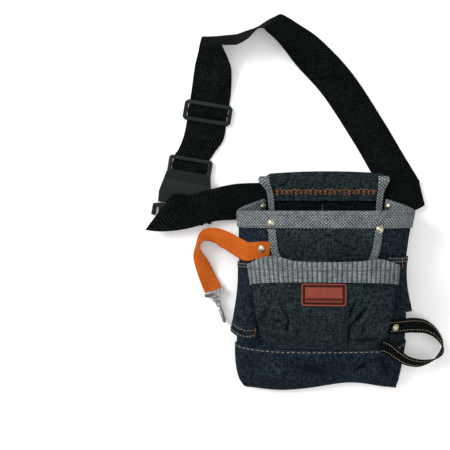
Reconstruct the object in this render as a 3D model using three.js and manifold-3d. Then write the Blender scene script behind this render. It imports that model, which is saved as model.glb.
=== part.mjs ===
// Tool pouch lying on its back with its belt laid out above it, in millimetres, +Z up
// +X is the wearer's side seen on the right, +Y runs from the bottom to the belt, the back rests on Z = 0
import * as THREE from 'three';
import { mergeVertices } from 'three/addons/utils/BufferGeometryUtils.js';
import Module from 'manifold-3d';

const wasm = await Module();
wasm.setup();

// Driving dimensions
const CLOTH = 1.6;
const TAPE = 1.0;
const WEBBING = 1.4;
const LINING = 1.2;
const GAP = 0.4;
const RIM_GAP = 1.1;
const BELT_WIDTH = 50;
const LANYARD_WIDTH = 25;
const LOOP_WIDTH = 20;
const STRAP_STEPS = 2;
const RIM_Y = 103;
const BOTTOM_Y = -141;
const BODY_ROUND = 3;
const FLARE_SHARE = 0.45;
const LIFT_SHARE = 0.5;
const BODY_STATIONS = 34;
const BODY_ROWS = 12;
const RIM_TAPE = (RIM_Y - BOTTOM_Y) / BODY_ROWS;

// Body sections from the rim down: half-widths, depth, height of the back edge, rise toward the back
const BODY = [
  { y: 106, left: 122, right: 121, back: 84, depth: 74, foot: 6.2, lift: 16, hem: 0 },
  { y: 60, left: 121, right: 113, back: 85, depth: 70, foot: 5.6, lift: 9, hem: 0 },
  { y: 10, left: 121, right: 109, back: 88, depth: 66, foot: 2.4, lift: 3, hem: 0 },
  { y: -45, left: 123, right: 112, back: 93, depth: 58, foot: 2.4, lift: 0, hem: 0 },
  { y: -95, left: 125, right: 107, back: 99, depth: 43, foot: 2.4, lift: 0, hem: 0.2 },
  { y: -125, left: 121, right: 101, back: 100, depth: 24, foot: 2.4, lift: 0, hem: 0.7 },
  { y: -141, left: 113, right: 97, back: 96, depth: 4, foot: 2.4, lift: 0, hem: 1 },
];
const HEM_WAVES = [
  { x: 38, span: 40, rise: 8 },
  { x: -62, span: 42, rise: -5 },
];
const BAND_TOP = { front: -82, left: -72, right: -60, hem: 2 };

// Soft folds of the front, each a ridge or a dent with its middle, lean in degrees, reach and height
const BODY_FOLDS = [
  { x: -70, y: -112, lean: 18, reach: 34, width: 9, height: 2.2 },
  { x: -20, y: -110, lean: -12, reach: 38, width: 10, height: -2.4 },
  { x: 48, y: -112, lean: 62, reach: 26, width: 9, height: 2.6 },
  { x: 84, y: 20, lean: 78, reach: 34, width: 9, height: -2.2 },
  { x: -92, y: 66, lean: 70, reach: 24, width: 8, height: -1.8 },
];

// Half-width of the back panel and of its folded top
const BACK_EDGE = [
  { y: -143, half: 99 },
  { y: -90, half: 103 },
  { y: 0, half: 92 },
  { y: 90, half: 86 },
  { y: 118, half: 78 },
  { y: 138, half: 82.5 },
  { y: 149, half: 84.5 },
  { y: 157, half: 73 },
];
const BACK_LINES = [-142, -110, -60, 0, 60, 90, 104, 121, 133, 145];
const BACK_STATIONS = 12;
const TUNNEL_TOP = 156;
const TUNNEL_RADIUS = 4.6;
const TUNNEL_STEPS = 6;
const FLAP = [
  { y: 138, z: 10.4 },
  { y: 128, z: 9.4 },
  { y: 118, z: 8.2 },
];
const CORNER_LIFT = { x: 48, y: 104, reach: 17, rise: 1.9 };

// Inner sheet from the belt tunnel down into the bag, and the tape on each edge of the flap and of that sheet
const INNER_HALF = 75;
const INNER_STATIONS = 8;
const INNER = [
  { y: 126, z: 6.3 },
  { y: 96, z: 6.1 },
  { y: 80, z: 4 },
  { y: 40, z: 3 },
  { y: -60, z: 3 },
];
const BACK_TAPE_THICK = 1.6;
const BACK_TAPE_STATIONS = 14;
const BACK_TAPE = [
  { y: 152, left: 90.5, right: 86, z: 11.4, wide: 14 },
  { y: 146, left: 92, right: 87.5, z: 12.2, wide: 15.5 },
  { y: 139, left: 86.5, right: 84, z: 12, wide: 12 },
  { y: 131, left: 81, right: 80.4, z: 11.2, wide: 9 },
  { y: 116, left: 78.6, right: 78.6, z: 9.5, wide: 9 },
  { y: 98, left: 78.4, right: 78.4, z: 7.4, wide: 9 },
  { y: 74, left: 79, right: 79, z: 4.8, wide: 9 },
  { y: 40, left: 80, right: 80, z: 4.1, wide: 9 },
  { y: -10, left: 80, right: 80, z: 4.1, wide: 9 },
];

// Front pocket from its mouth down: reach of the front, width where it joins the bag, how far it stands out
const POCKET = [
  { y: 41, left: 108, right: 97, joinLeft: 72, joinRight: 68, proud: 28 },
  { y: 12, left: 104, right: 95, joinLeft: 69, joinRight: 66, proud: 31 },
  { y: -30, left: 99, right: 91, joinLeft: 66, joinRight: 63, proud: 26 },
  { y: -58, left: 93, right: 83, joinLeft: 64, joinRight: 61, proud: 15 },
  { y: -74, left: 81, right: 71, joinLeft: 61, joinRight: 58, proud: 6 },
  { y: -80, left: 70, right: 62, joinLeft: 60, joinRight: 57, proud: 2.4 },
];
const POCKET_BOTTOM = -80;
const POCKET_MOUTH = [
  { across: 0, y: 41 },
  { across: 0.12, y: 35 },
  { across: 0.3, y: 46 },
  { across: 0.42, y: 39.6 },
  { across: 0.6, y: 39.6 },
  { across: 0.71, y: 42.4 },
  { across: 0.88, y: 35 },
  { across: 1, y: 41 },
];
const POCKET_OFFSET = 0.6;
const POCKET_ROUND = 2.6;
const POCKET_FOLDS = [
  { x: 36, y: -52, lean: 88, reach: 26, width: 7, height: -6 },
  { x: 52, y: -2, lean: 58, reach: 24, width: 7, height: 3 },
  { x: -66, y: -34, lean: -58, reach: 24, width: 8, height: -4.5 },
  { x: -30, y: -58, lean: 20, reach: 22, width: 8, height: 2 },
];
const BAND_BOTTOM = { middle: 14.2, left: 6.5, right: 8.5 };
const BAND_RIBS = 38;
const BAND_THICK = 0.9;
const RIB_HEIGHT = 1.2;
const LABEL = { left: -32, right: 24, top: 12.4, bottom: -17, thick: 1.6 };

// Edges of the pocket's back sheet
const POCKET_BACK = [
  { y: 81.5, left: 75, right: 71 },
  { y: 66, left: 73, right: 69 },
  { y: 53, left: 71, right: 67 },
  { y: 38, left: 66, right: 62.5 },
  { y: -10, left: 59, right: 56.5 },
  { y: -66, left: 54, right: 52 },
];
const POCKET_TAPE = 9;
const POCKET_BACK_ROWS = 14;
const POCKET_TAPE_ROWS = 8;

// Side sleeves: share of the way round the body at both edges, and how far the cloth stands out
const SLEEVES = [
  {
    name: 'side_sleeve_left',
    slant: 8,
    rows: [
      { y: 36, from: 0.1, to: 0.325, proud: 2 },
      { y: 8, from: 0.1, to: 0.315, proud: 5 },
      { y: -25, from: 0.1, to: 0.3, proud: 12 },
      { y: -56, from: 0.1, to: 0.285, proud: 20 },
    ],
  },
  {
    name: 'side_sleeve_right',
    slant: 0,
    rows: [
      { y: 45, from: 0.9, to: 0.7, proud: 2 },
      { y: 22, from: 0.9, to: 0.71, proud: 5 },
      { y: -3, from: 0.9, to: 0.725, proud: 9 },
      { y: -28, from: 0.9, to: 0.74, proud: 13 },
    ],
  },
];

// Straps: middle line, heading of the line across the strap, its tilt, and its length where it runs aslant
const HAMMER_LOOP = [
  { x: 84, y: -49.4, z: 51.5, across: 90, tilt: 9 },
  { x: 93, y: -49.4, z: 47.4, across: 90, tilt: 9 },
  { x: 104, y: -49.4, z: 40, across: 90, tilt: 6 },
  { x: 119, y: -50, z: 28.4, across: 86, tilt: -8 },
  { x: 138, y: -54, z: 17.4, across: 78, tilt: -38 },
  { x: 153, y: -65, z: 13, across: 72, tilt: -58 },
  { x: 161, y: -82, z: 12, across: 70, tilt: -73 },
  { x: 152, y: -97, z: 13, across: 76, tilt: -104 },
  { x: 132, y: -103, z: 19, across: 82, tilt: -126 },
  { x: 113, y: -99, z: 30, across: 86, tilt: -136 },
  { x: 97, y: -89, z: 42, across: 88, tilt: -152 },
  { x: 84, y: -79, z: 50, across: 90, tilt: -166 },
  { x: 74, y: -74, z: 53.6, across: 90, tilt: -168 },
];
const LANYARD = [
  { x: -76.2, y: 55.2, z: 72.7, across: -94, tilt: -4, length: 18 },
  { x: -90, y: 52.4, z: 67, across: -97, tilt: -6, length: 24 },
  { x: -105, y: 50.4, z: 58.4, across: -104, tilt: -8, length: 26 },
  { x: -121, y: 57.4, z: 46, across: -120, tilt: -10, length: 25 },
  { x: -136, y: 64.4, z: 30, across: -112, tilt: 0, length: 24 },
  { x: -157, y: 70, z: 17, across: -62, tilt: 24, length: 25 },
  { x: -171, y: 67, z: 13.8, across: -44, tilt: 62, length: 25 },
  { x: -176, y: 54, z: 13.4, across: -22, tilt: 70, length: 25 },
  { x: -173.4, y: 38, z: 8.4, across: -6, tilt: 34, length: 25 },
  { x: -167.4, y: 20.6, z: 4, across: -2, tilt: 8, length: 25 },
  { x: -160.6, y: 4.6, z: 6, across: 8, tilt: 0, length: 25 },
  { x: -154.8, y: -7.4, z: 8.3, across: 20, tilt: 0, length: 25 },
];

// Belt from its folded left end through the tunnel, round the right fold, along the top and into the buckle
const BELT = [
  { x: -206, y: 103, z: 13.4, across: 62, tilt: 0, length: 56 },
  { x: -223.4, y: 102.6, z: 13.8, across: 54, tilt: 0, length: 62 },
  { x: -230.6, y: 102.2, z: 15.8, across: 53, tilt: 0, length: 62 },
  { x: -223, y: 101.4, z: 18, across: 55, tilt: 0, length: 62 },
  { x: -206, y: 100.6, z: 17.8, across: 75, tilt: 0, length: 51 },
  { x: -186, y: 103.4, z: 15.6, across: 92, tilt: 0, length: 46 },
  { x: -156, y: 111.6, z: 12.6, across: 98, tilt: 0, length: 45 },
  { x: -124, y: 116.5, z: 5.8, across: 94, tilt: 0, length: 50 },
  { x: -92, y: 118, z: 3, across: 90, tilt: 0, length: 50 },
  { x: -30, y: 119, z: 3, across: 90, tilt: 0, length: 50 },
  { x: 40, y: 120, z: 3, across: 90, tilt: 0, length: 50 },
  { x: 58, y: 120, z: 4.3, across: 89, tilt: 1, length: 50 },
  { x: 74, y: 120, z: 4.5, across: 88, tilt: 1, length: 50 },
  { x: 86, y: 119.6, z: 4.6, across: 84, tilt: 0, length: 50 },
  { x: 100, y: 120, z: 7, across: 86, tilt: 0, length: 48 },
  { x: 118, y: 123.6, z: 8.8, across: 95, tilt: 0, length: 40 },
  { x: 131.6, y: 128.6, z: 5.2, across: 104, tilt: 0, length: 33 },
  { x: 120, y: 131.6, z: 1.8, across: 74, tilt: 0, length: 40 },
  { x: 104.6, y: 141, z: 1.3, across: 46, tilt: 0, length: 48 },
  { x: 91, y: 160, z: 0.95, across: 31, tilt: 0, length: 50 },
  { x: 59, y: 214, z: 1.15, across: 36, tilt: 0, length: 50 },
  { x: 15, y: 281, z: 1.45, across: 34, tilt: 0, length: 50 },
  { x: -21, y: 320, z: 4.8, across: 50, tilt: -8, length: 50 },
  { x: -46, y: 341, z: 11.8, across: 55, tilt: -25, length: 50 },
  { x: -64, y: 356, z: 17, across: 53, tilt: -40, length: 50 },
  { x: -77, y: 361, z: 20.9, across: 64, tilt: -54, length: 50 },
  { x: -93, y: 354, z: 24.4, across: 96, tilt: -72, length: 50 },
  { x: -107, y: 345, z: 23.8, across: 108, tilt: -68, length: 50 },
  { x: -121, y: 338.4, z: 22.6, across: 108, tilt: -60, length: 50 },
  { x: -139, y: 336, z: 21, across: 118, tilt: -54, length: 50 },
  { x: -152, y: 332.4, z: 18.6, across: 142, tilt: -46, length: 50 },
  { x: -156, y: 320, z: 13.6, across: 164, tilt: -30, length: 50 },
  { x: -155.4, y: 302, z: 8.4, across: 174, tilt: -16, length: 53 },
  { x: -158.6, y: 268, z: 2.8, across: 170.5, tilt: 0, length: 53 },
  { x: -161.9, y: 248.7, z: 2.4, across: 170.5, tilt: 0, length: 53 },
  { x: -162.6, y: 243.8, z: 7.3, across: 170.5, tilt: 0, length: 53 },
  { x: -163.2, y: 240.8, z: 7.7, across: 170.5, tilt: 0, length: 53 },
  { x: -163.8, y: 237.8, z: 7.3, across: 170.5, tilt: 0, length: 53 },
  { x: -164.5, y: 232.9, z: 2.4, across: 170.5, tilt: 0, length: 53 },
  { x: -169, y: 207, z: 2.8, across: 171, tilt: 0, length: 53 },
  { x: -180, y: 187, z: 2.95, across: 170.5, tilt: 0, length: 49 },
  { x: -185.8, y: 178.4, z: 2.65, across: 170.5, tilt: 0, length: 48 },
  { x: -187, y: 172.6, z: 2.6, across: 170.5, tilt: 0, length: 48 },
  { x: -187.4, y: 170.3, z: 4.4, across: 170.5, tilt: 0, length: 48 },
  { x: -187.9, y: 167.7, z: 6.5, across: 170.5, tilt: 0, length: 48 },
  { x: -188.3, y: 165.2, z: 6.8, across: 170.5, tilt: 0, length: 48 },
  { x: -188.7, y: 162.8, z: 6.4, across: 170.5, tilt: 0, length: 48 },
  { x: -189.2, y: 159.4, z: 3.8, across: 170.5, tilt: 0, length: 48 },
  { x: -188.9, y: 161.2, z: 1.2, across: 170.5, tilt: 0, length: 48 },
  { x: -187.8, y: 167.9, z: 0.95, across: 170.5, tilt: 0, length: 48 },
  { x: -186.2, y: 177.8, z: 0.95, across: 170.5, tilt: 0, length: 48 },
  { x: -181.4, y: 184.4, z: 0.95, across: 170.5, tilt: 0, length: 48 },
  { x: -169.6, y: 206, z: 0.95, across: 170.5, tilt: 0, length: 49 },
  { x: -164.4, y: 234, z: 0.95, across: 170.5, tilt: 0, length: 49 },
];

// Hard pieces on the belt and on the lanyard
const SLIDER = {
  x: -163.2, y: 240.8, turn: -9.5, width: 68, height: 29, bar: 5.8, middle: 4, end: 5.4, corner: 4,
  base: 3.9, thick: 2.4,
};
const BUCKLE = {
  x: -186.5, y: 175.8, turn: -9.5, bar: 5, slot: 17, slotWidth: 51, halfTop: 31, halfEnd: 37,
  crossFrom: 9, crossTo: 12.4, crossLow: 3, crossHigh: 5.4,
  widest: 50, femaleEnd: 65.5, maleFrom: 66.3, maleBase: 76, maleBar: 4, maleEnd: 89, maleHalf: 33.5,
  earIn: 37.5, earOut: 42.5, earFrom: 69, earTo: 85, earNotch: 73,
  low: 0.4, high: 10.6, plateLow: 3.7, plateHigh: 6.7, corner: 3,
  noseWide: 16, noseNarrow: 12, noseDeep: 5,
};
const CRIMP = { x: -154.4, y: -8.4, z: 8.4, turn: 20, width: 28, narrow: 10, depth: 14, thick: 5 };
const HOOK = { stem: 1.4, head: 2.5, wire: 2, shoulder: 11, gateWide: 3.4 };
const RIVET = { radius: 4.8, height: 2.4, sides: 10 };

const SMOOTH = THREE.MathUtils.smoothstep;
const LERP = THREE.MathUtils.lerp;
const RAD = THREE.MathUtils.degToRad;

// One named column of a table, read by a smooth curve between its rows
function column(rows, key, name, at) {
  const sign = Math.sign(rows[rows.length - 1][key] - rows[0][key]);
  let i = 0;
  while (i < rows.length - 2 && sign * at > sign * rows[i + 1][key]) {
    i += 1;
  }
  const slope = (k) => {
    const a = rows[Math.max(k - 1, 0)];
    const b = rows[Math.min(k + 1, rows.length - 1)];
    return (b[name] - a[name]) / (b[key] - a[key]);
  };
  const span = rows[i + 1][key] - rows[i][key];
  const t = THREE.MathUtils.clamp((at - rows[i][key]) / span, -0.2, 1.2);
  const t2 = t * t;
  const t3 = t2 * t;
  const ends = (2 * t3 - 3 * t2 + 1) * rows[i][name] + (3 * t2 - 2 * t3) * rows[i + 1][name];
  return ends + span * ((t3 - 2 * t2 + t) * slope(i) + (t3 - t2) * slope(i + 1));
}

// Height of all the folds of a table at one place
function foldHeight(folds, x, y) {
  let height = 0;
  for (const fold of folds) {
    const c = Math.cos(RAD(fold.lean));
    const s = Math.sin(RAD(fold.lean));
    const along = (x - fold.x) * c + (y - fold.y) * s;
    const aside = (y - fold.y) * c - (x - fold.x) * s;
    height += fold.height * Math.exp(-((along / fold.reach) ** 2) - (aside / fold.width) ** 2);
  }
  return height;
}

// Closed geometry from points and faces, turned so that its faces point out
function solidFrom(points, faces) {
  let volume = 0;
  for (const [a, b, c] of faces) {
    volume += points[a].dot(new THREE.Vector3().crossVectors(points[b], points[c]));
  }
  const order = volume > 0 ? [0, 1, 2] : [0, 2, 1];
  const geometry = new THREE.BufferGeometry();
  const flat = points.flatMap((p) => [p.x, p.y, p.z]);
  geometry.setAttribute('position', new THREE.Float32BufferAttribute(flat, 3));
  geometry.setIndex(faces.flatMap((face) => order.map((k) => face[k])));
  geometry.computeVertexNormals();
  return geometry;
}

// Sheet of cloth between an outer and an inner surface, both given over a unit square
function sheet(columns, rows, outer, inner) {
  const points = [];
  for (const surface of [outer, inner]) {
    for (let j = 0; j <= rows; j += 1) {
      for (let i = 0; i <= columns; i += 1) {
        points.push(surface(i / columns, j / rows));
      }
    }
  }
  const wide = columns + 1;
  const count = wide * (rows + 1);
  const faces = [];
  const quad = (a, b, c, d) => faces.push([a, b, c], [a, c, d]);
  for (let j = 0; j < rows; j += 1) {
    for (let i = 0; i < columns; i += 1) {
      const a = j * wide + i;
      quad(a, a + 1, a + wide + 1, a + wide);
      quad(count + a, count + a + wide, count + a + wide + 1, count + a + 1);
    }
  }
  const border = [];
  for (let i = 0; i < columns; i += 1) border.push(i);
  for (let j = 0; j < rows; j += 1) border.push(j * wide + columns);
  for (let i = columns; i > 0; i -= 1) border.push(rows * wide + i);
  for (let j = rows; j > 0; j -= 1) border.push(j * wide);
  border.forEach((a, k) => {
    const b = border[(k + 1) % border.length];
    quad(a, count + a, count + b, b);
  });
  return solidFrom(points, faces);
}

// Closed profile of a thin layer carried along a run of stations, its first and last points side by side
function sweep(profile, stations, place) {
  const points = [];
  for (let s = 0; s <= stations; s += 1) {
    for (const p of profile) {
      points.push(place(s / stations, p.x, p.y));
    }
  }
  const n = profile.length;
  const faces = [];
  for (let s = 0; s < stations; s += 1) {
    for (let k = 0; k < n; k += 1) {
      const a = s * n + k;
      const b = s * n + ((k + 1) % n);
      faces.push([a, b, b + n], [a, b + n, a + n]);
    }
  }
  const end = stations * n;
  for (let k = 0; k < n / 2 - 1; k += 1) {
    const [a, b, c, d] = [k, k + 1, n - 2 - k, n - 1 - k];
    faces.push([b, a, d], [b, d, c], [end + a, end + b, end + d], [end + b, end + c, end + d]);
  }
  return solidFrom(points, faces);
}

// Profile of a thin layer that follows a line of points
function layerProfile(line, thick) {
  const side = (sign) => line.map((p, i) => {
    const a = line[Math.max(i - 1, 0)];
    const b = line[Math.min(i + 1, line.length - 1)];
    const normal = new THREE.Vector2(a.y - b.y, b.x - a.x).normalize();
    return p.clone().addScaledVector(normal, (sign * thick) / 2);
  });
  return [...side(-1), ...side(1).reverse()];
}

// Profile of a tape folded over an edge: reach along the sheet, height across it with its outer face at zero
function foldedTape(reach, sheetThick, gap) {
  const near = gap;
  const far = gap + TAPE;
  const corner = (x, y) => new THREE.Vector2(x, y);
  return [
    corner(-reach, near), corner(near, near), corner(near, -sheetThick - near),
    corner(-reach, -sheetThick - near), corner(-reach, -sheetThick - far), corner(far, -sheetThick - far),
    corner(far, far), corner(-reach, far),
  ];
}

// Webbing along a table of places, as wide as its rows say
function strap(rows, width, thick) {
  const places = rows.map((row) => new THREE.Vector3(row.x, row.y, row.z));
  const middle = new THREE.CatmullRomCurve3(places, false, 'centripetal');
  const numbered = rows.map((row, index) => ({ length: width, ...row, index }));
  const last = rows.length - 1;
  const steps = STRAP_STEPS * last;
  const acrossAt = (t) => {
    const heading = RAD(column(numbered, 'index', 'across', t * last));
    const tilt = RAD(column(numbered, 'index', 'tilt', t * last));
    const flat = Math.cos(tilt);
    return new THREE.Vector3(flat * Math.cos(heading), flat * Math.sin(heading), Math.sin(tilt));
  };
  const profile = [[-0.5, -0.5], [0, -0.5], [0.5, -0.5], [0.5, 0.5], [0, 0.5], [-0.5, 0.5]];
  return sweep(profile.map(([x, y]) => new THREE.Vector2(x, y)), steps, (t, u, v) => {
    const across = acrossAt(t);
    const along = middle.getTangent(t);
    const normal = new THREE.Vector3().crossVectors(along, across).normalize();
    const length = column(numbered, 'index', 'length', t * last);
    return middle.getPoint(t).addScaledVector(across, u * length).addScaledVector(normal, v * thick);
  });
}

// Rise of the bottom edge, which pulls up on the right of its middle and sags on the left
function hemArch(x, y) {
  let rise = 0;
  for (const wave of HEM_WAVES) {
    rise += wave.rise * Math.exp(-(((x - wave.x) / wave.span) ** 2));
  }
  return column(BODY, 'y', 'hem', y) * rise;
}

// Point of the body's wall: share of the way round from the left back edge, height, depth in its cloth
function bodyPoint(around, y, inset) {
  const row = (name) => column(BODY, 'y', name, y);
  const angle = Math.PI * (1 - around);
  const c = Math.cos(angle);
  const side = Math.abs(c) ** (2 / BODY_ROUND);
  const rise = Math.abs(Math.sin(angle)) ** (2 / BODY_ROUND);
  const half = LERP(row('back'), row(around < 0.5 ? 'left' : 'right'), SMOOTH(rise, 0, FLARE_SHARE)) - inset;
  const x = Math.sign(c) * side * half;
  const fold = foldHeight(BODY_FOLDS, x, y) * rise ** 2;
  const z = row('foot') + (row('depth') - inset) * rise + fold;
  const lift = row('lift') * (1 - SMOOTH(rise, 0, LIFT_SHARE));
  return new THREE.Vector3(x, y + lift + hemArch(x, y), z);
}

// Share of the way round at which the body's front has the given x
function aroundAt(x, y) {
  const half = column(BODY, 'y', x < 0 ? 'left' : 'right', y);
  const turn = Math.acos(Math.min(Math.abs(x) / half, 1) ** (BODY_ROUND / 2)) / Math.PI;
  return x < 0 ? turn : 1 - turn;
}

function bodyNormal(around, y) {
  const step = 0.004;
  const round = bodyPoint(around + step, y, 0).sub(bodyPoint(around - step, y, 0));
  const up = bodyPoint(around, y + 1, 0).sub(bodyPoint(around, y - 1, 0));
  return new THREE.Vector3().crossVectors(round, up).normalize();
}

// Place above the body's outer face
function onBody(around, y, height) {
  return bodyPoint(around, y, 0).addScaledVector(bodyNormal(around, y), height);
}

// Point of the front pocket's wall, across from its left to its right seam
function pocketPoint(across, y, height) {
  const row = (name) => column(POCKET, 'y', name, y);
  const angle = Math.PI * (1 - across);
  const c = Math.cos(angle);
  const side = Math.abs(c) ** (2 / POCKET_ROUND);
  const rise = Math.abs(Math.sin(angle)) ** (2 / POCKET_ROUND);
  const join = row(c < 0 ? 'joinLeft' : 'joinRight');
  const reach = LERP(join, row(c < 0 ? 'left' : 'right'), SMOOTH(rise, 0, 0.5)) + height;
  const x = Math.sign(c) * side * reach;
  const seat = bodyPoint(aroundAt(THREE.MathUtils.clamp(x, -row('joinLeft'), row('joinRight')), y), y, 0);
  const fold = foldHeight(POCKET_FOLDS, x, y) * rise ** 2 * Math.min(row('proud') / 15, 1);
  return new THREE.Vector3(x, y, seat.z + POCKET_OFFSET + (row('proud') + height) * rise + fold);
}

function mainWall() {
  const place = (u, v, inset) => bodyPoint(u, LERP(RIM_Y, BOTTOM_Y, v), inset);
  return sheet(BODY_STATIONS, BODY_ROWS, (u, v) => place(u, v, 0), (u, v) => place(u, v, CLOTH));
}

function rimBinding() {
  const profile = foldedTape(RIM_TAPE, CLOTH, RIM_GAP);
  return sweep(profile, BODY_STATIONS, (t, down, height) => bodyPoint(t, RIM_Y + down, -height));
}

function bottomBand() {
  const place = (u, v, height) => {
    const around = LERP(1 / BODY_STATIONS, 1 - 1 / BODY_STATIONS, u);
    const side = around < 0.5 ? BAND_TOP.left : BAND_TOP.right;
    const top = LERP(side, BAND_TOP.front, Math.sin(Math.PI * around) ** 0.5);
    return onBody(around, LERP(top, BOTTOM_Y + BAND_TOP.hem, v), height);
  };
  const low = 2.5 * GAP;
  const outer = (u, v) => place(u, v, low + LINING);
  return sheet(BODY_STATIONS - 2, BODY_ROWS / 2, outer, (u, v) => place(u, v, low));
}

function cornerLift(x, y) {
  const right = SMOOTH(x, CORNER_LIFT.x, CORNER_LIFT.x + CORNER_LIFT.reach);
  return CORNER_LIFT.rise * right * SMOOTH(y, CORNER_LIFT.y, CORNER_LIFT.y + CORNER_LIFT.reach);
}

function backPanel() {
  const line = [];
  const low = CLOTH / 2;
  for (const y of BACK_LINES) {
    line.push(new THREE.Vector2(y, low));
  }
  const radius = TUNNEL_RADIUS;
  for (let k = 0; k <= TUNNEL_STEPS; k += 1) {
    const angle = -Math.PI / 2 + (Math.PI * k) / TUNNEL_STEPS;
    const tall = low + radius + radius * Math.sin(angle);
    line.push(new THREE.Vector2(TUNNEL_TOP - radius - low + radius * Math.cos(angle), tall));
  }
  for (const row of FLAP) {
    line.push(new THREE.Vector2(row.y, row.z));
  }
  return sweep(layerProfile(line, CLOTH), BACK_STATIONS, (t, y, z) => {
    const half = column(BACK_EDGE, 'y', 'half', y);
    const x = LERP(-half, half, t);
    return new THREE.Vector3(x, y + hemArch(x, y), z + cornerLift(x, y));
  });
}

function innerPocket() {
  const line = INNER.map((row) => new THREE.Vector2(row.y, row.z));
  return sweep(layerProfile(line, LINING), INNER_STATIONS, (t, y, z) => {
    const x = LERP(-INNER_HALF, INNER_HALF, t);
    return new THREE.Vector3(x, y, z + cornerLift(x, y));
  });
}

// Tape on one edge of the tunnel flap, running on down the edge of the inner sheet
function backBinding(sign) {
  const profile = [[0, 0], [1, 0], [1, 1], [0, 1]].map(([x, y]) => new THREE.Vector2(x, y));
  return sweep(profile, BACK_TAPE_STATIONS, (t, across, thick) => {
    const y = LERP(BACK_TAPE[0].y, BACK_TAPE[BACK_TAPE.length - 1].y, t);
    const row = (name) => column(BACK_TAPE, 'y', name, y);
    const x = sign * (row(sign < 0 ? 'left' : 'right') - across * row('wide'));
    return new THREE.Vector3(x, y, row('z') + thick * BACK_TAPE_THICK + cornerLift(x, y));
  });
}

function pocketBack() {
  const place = (u, v, height) => {
    const y = LERP(POCKET_BACK[0].y, POCKET_BACK[POCKET_BACK.length - 1].y, v);
    const x = LERP(-column(POCKET_BACK, 'y', 'left', y), column(POCKET_BACK, 'y', 'right', y), u);
    return onBody(aroundAt(x, y), y, height);
  };
  const low = 2 * GAP + TAPE;
  return sheet(8, POCKET_BACK_ROWS, (u, v) => place(u, v, low + LINING), (u, v) => place(u, v, low));
}

function pocketBinding(sign) {
  const low = 2 * GAP + TAPE;
  const share = POCKET_TAPE_ROWS / POCKET_BACK_ROWS;
  return sweep(foldedTape(POCKET_TAPE, LINING, GAP), POCKET_TAPE_ROWS, (t, out, height) => {
    const y = LERP(POCKET_BACK[0].y, POCKET_BACK[POCKET_BACK.length - 1].y, t * share);
    const edge = column(POCKET_BACK, 'y', sign < 0 ? 'left' : 'right', y);
    return onBody(aroundAt(sign * (edge + out), y), y, low + LINING + height);
  });
}

function pocketMouth(across) {
  return column(POCKET_MOUTH, 'across', 'y', across);
}

function pocketWall() {
  const place = (u, v, height) => pocketPoint(u, LERP(pocketMouth(u), POCKET_BOTTOM, v), height);
  return sheet(30, 10, (u, v) => place(u, v, 0), (u, v) => place(u, v, -CLOTH));
}

function pocketBand() {
  const low = 3 * GAP;
  const rib = (u) => RIB_HEIGHT * 0.5 * (1 - Math.cos(2 * Math.PI * BAND_RIBS * u));
  const ease = (u) => 1 - SMOOTH(Math.min(u, 1 - u), 0, 0.08);
  const place = (u, v, height) => {
    const across = LERP(0.06, 0.94, u);
    const end = u < 0.5 ? BAND_BOTTOM.left : BAND_BOTTOM.right;
    const bottom = LERP(BAND_BOTTOM.middle, end, (2 * u - 1) ** 2);
    return pocketPoint(across, LERP(pocketMouth(across), bottom, v), height + 1.5 * ease(u));
  };
  const ribbed = (u, v) => place(u, v, low + BAND_THICK + rib(u));
  return sheet(2 * BAND_RIBS, 2, ribbed, (u, v) => place(u, v, low));
}

// Share of the way across the pocket at which its wall has the given x
function pocketShare(x, y) {
  let low = 0.15;
  let high = 0.85;
  for (let k = 0; k < 24; k += 1) {
    const middle = (low + high) / 2;
    if (pocketPoint(middle, y, 0).x < x) low = middle;
    else high = middle;
  }
  return (low + high) / 2;
}

function labelPatch() {
  const place = (u, v, height) => {
    const y = LERP(LABEL.top, LABEL.bottom, v);
    return pocketPoint(pocketShare(LERP(LABEL.left, LABEL.right, u), y), y, height);
  };
  const low = GAP + 0.1;
  return sheet(8, 4, (u, v) => place(u, v, low + LABEL.thick), (u, v) => place(u, v, low));
}

function sideSleeve(spec) {
  const last = spec.rows.length - 1;
  const place = (u, v, extra) => {
    const y = LERP(spec.rows[0].y, spec.rows[last].y - spec.slant * SMOOTH(u, 0.3, 0.9), v);
    const row = (name) => column(spec.rows, 'y', name, y);
    const stand = 0.6 + row('proud') * Math.sin(Math.PI * u) ** 0.8;
    return onBody(LERP(row('from'), row('to'), u), y, stand + extra);
  };
  return sheet(12, 5, (u, v) => place(u, v, CLOTH), (u, v) => place(u, v, 0));
}

// Solid for joining and cutting
function toSolid(geometry) {
  const bare = geometry.clone();
  bare.deleteAttribute('normal');
  bare.deleteAttribute('uv');
  const merged = mergeVertices(bare, 1e-3);
  const vertProperties = new Float32Array(merged.attributes.position.array);
  const triVerts = new Uint32Array(merged.index.array);
  return new wasm.Manifold(new wasm.Mesh({ numProp: 3, vertProperties, triVerts }));
}

function fromSolid(solid) {
  const mesh = solid.getMesh();
  const geometry = new THREE.BufferGeometry();
  geometry.setAttribute('position', new THREE.Float32BufferAttribute(mesh.vertProperties, 3));
  geometry.setIndex(Array.from(mesh.triVerts));
  geometry.computeVertexNormals();
  return geometry;
}

// Plate with the given outline and holes, between two heights
function plate(outline, holes, low, high) {
  const toPath = (points) => points.map(([x, y]) => new THREE.Vector2(x, y));
  const shape = new THREE.Shape(toPath(outline));
  shape.holes = holes.map((hole) => new THREE.Path(toPath(hole)));
  const geometry = new THREE.ExtrudeGeometry(shape, { depth: high - low, bevelEnabled: false });
  return geometry.translate(0, 0, low);
}

function rectangle(x0, y0, x1, y1) {
  return [[x0, y0], [x1, y0], [x1, y1], [x0, y1]];
}

// Rectangle with its corners cut by a small flat
function softRectangle(x0, y0, x1, y1, cut) {
  return [
    [x0 + cut, y0], [x1 - cut, y0], [x1, y0 + cut], [x1, y1 - cut],
    [x1 - cut, y1], [x0 + cut, y1], [x0, y1 - cut], [x0, y0 + cut],
  ];
}

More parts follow.
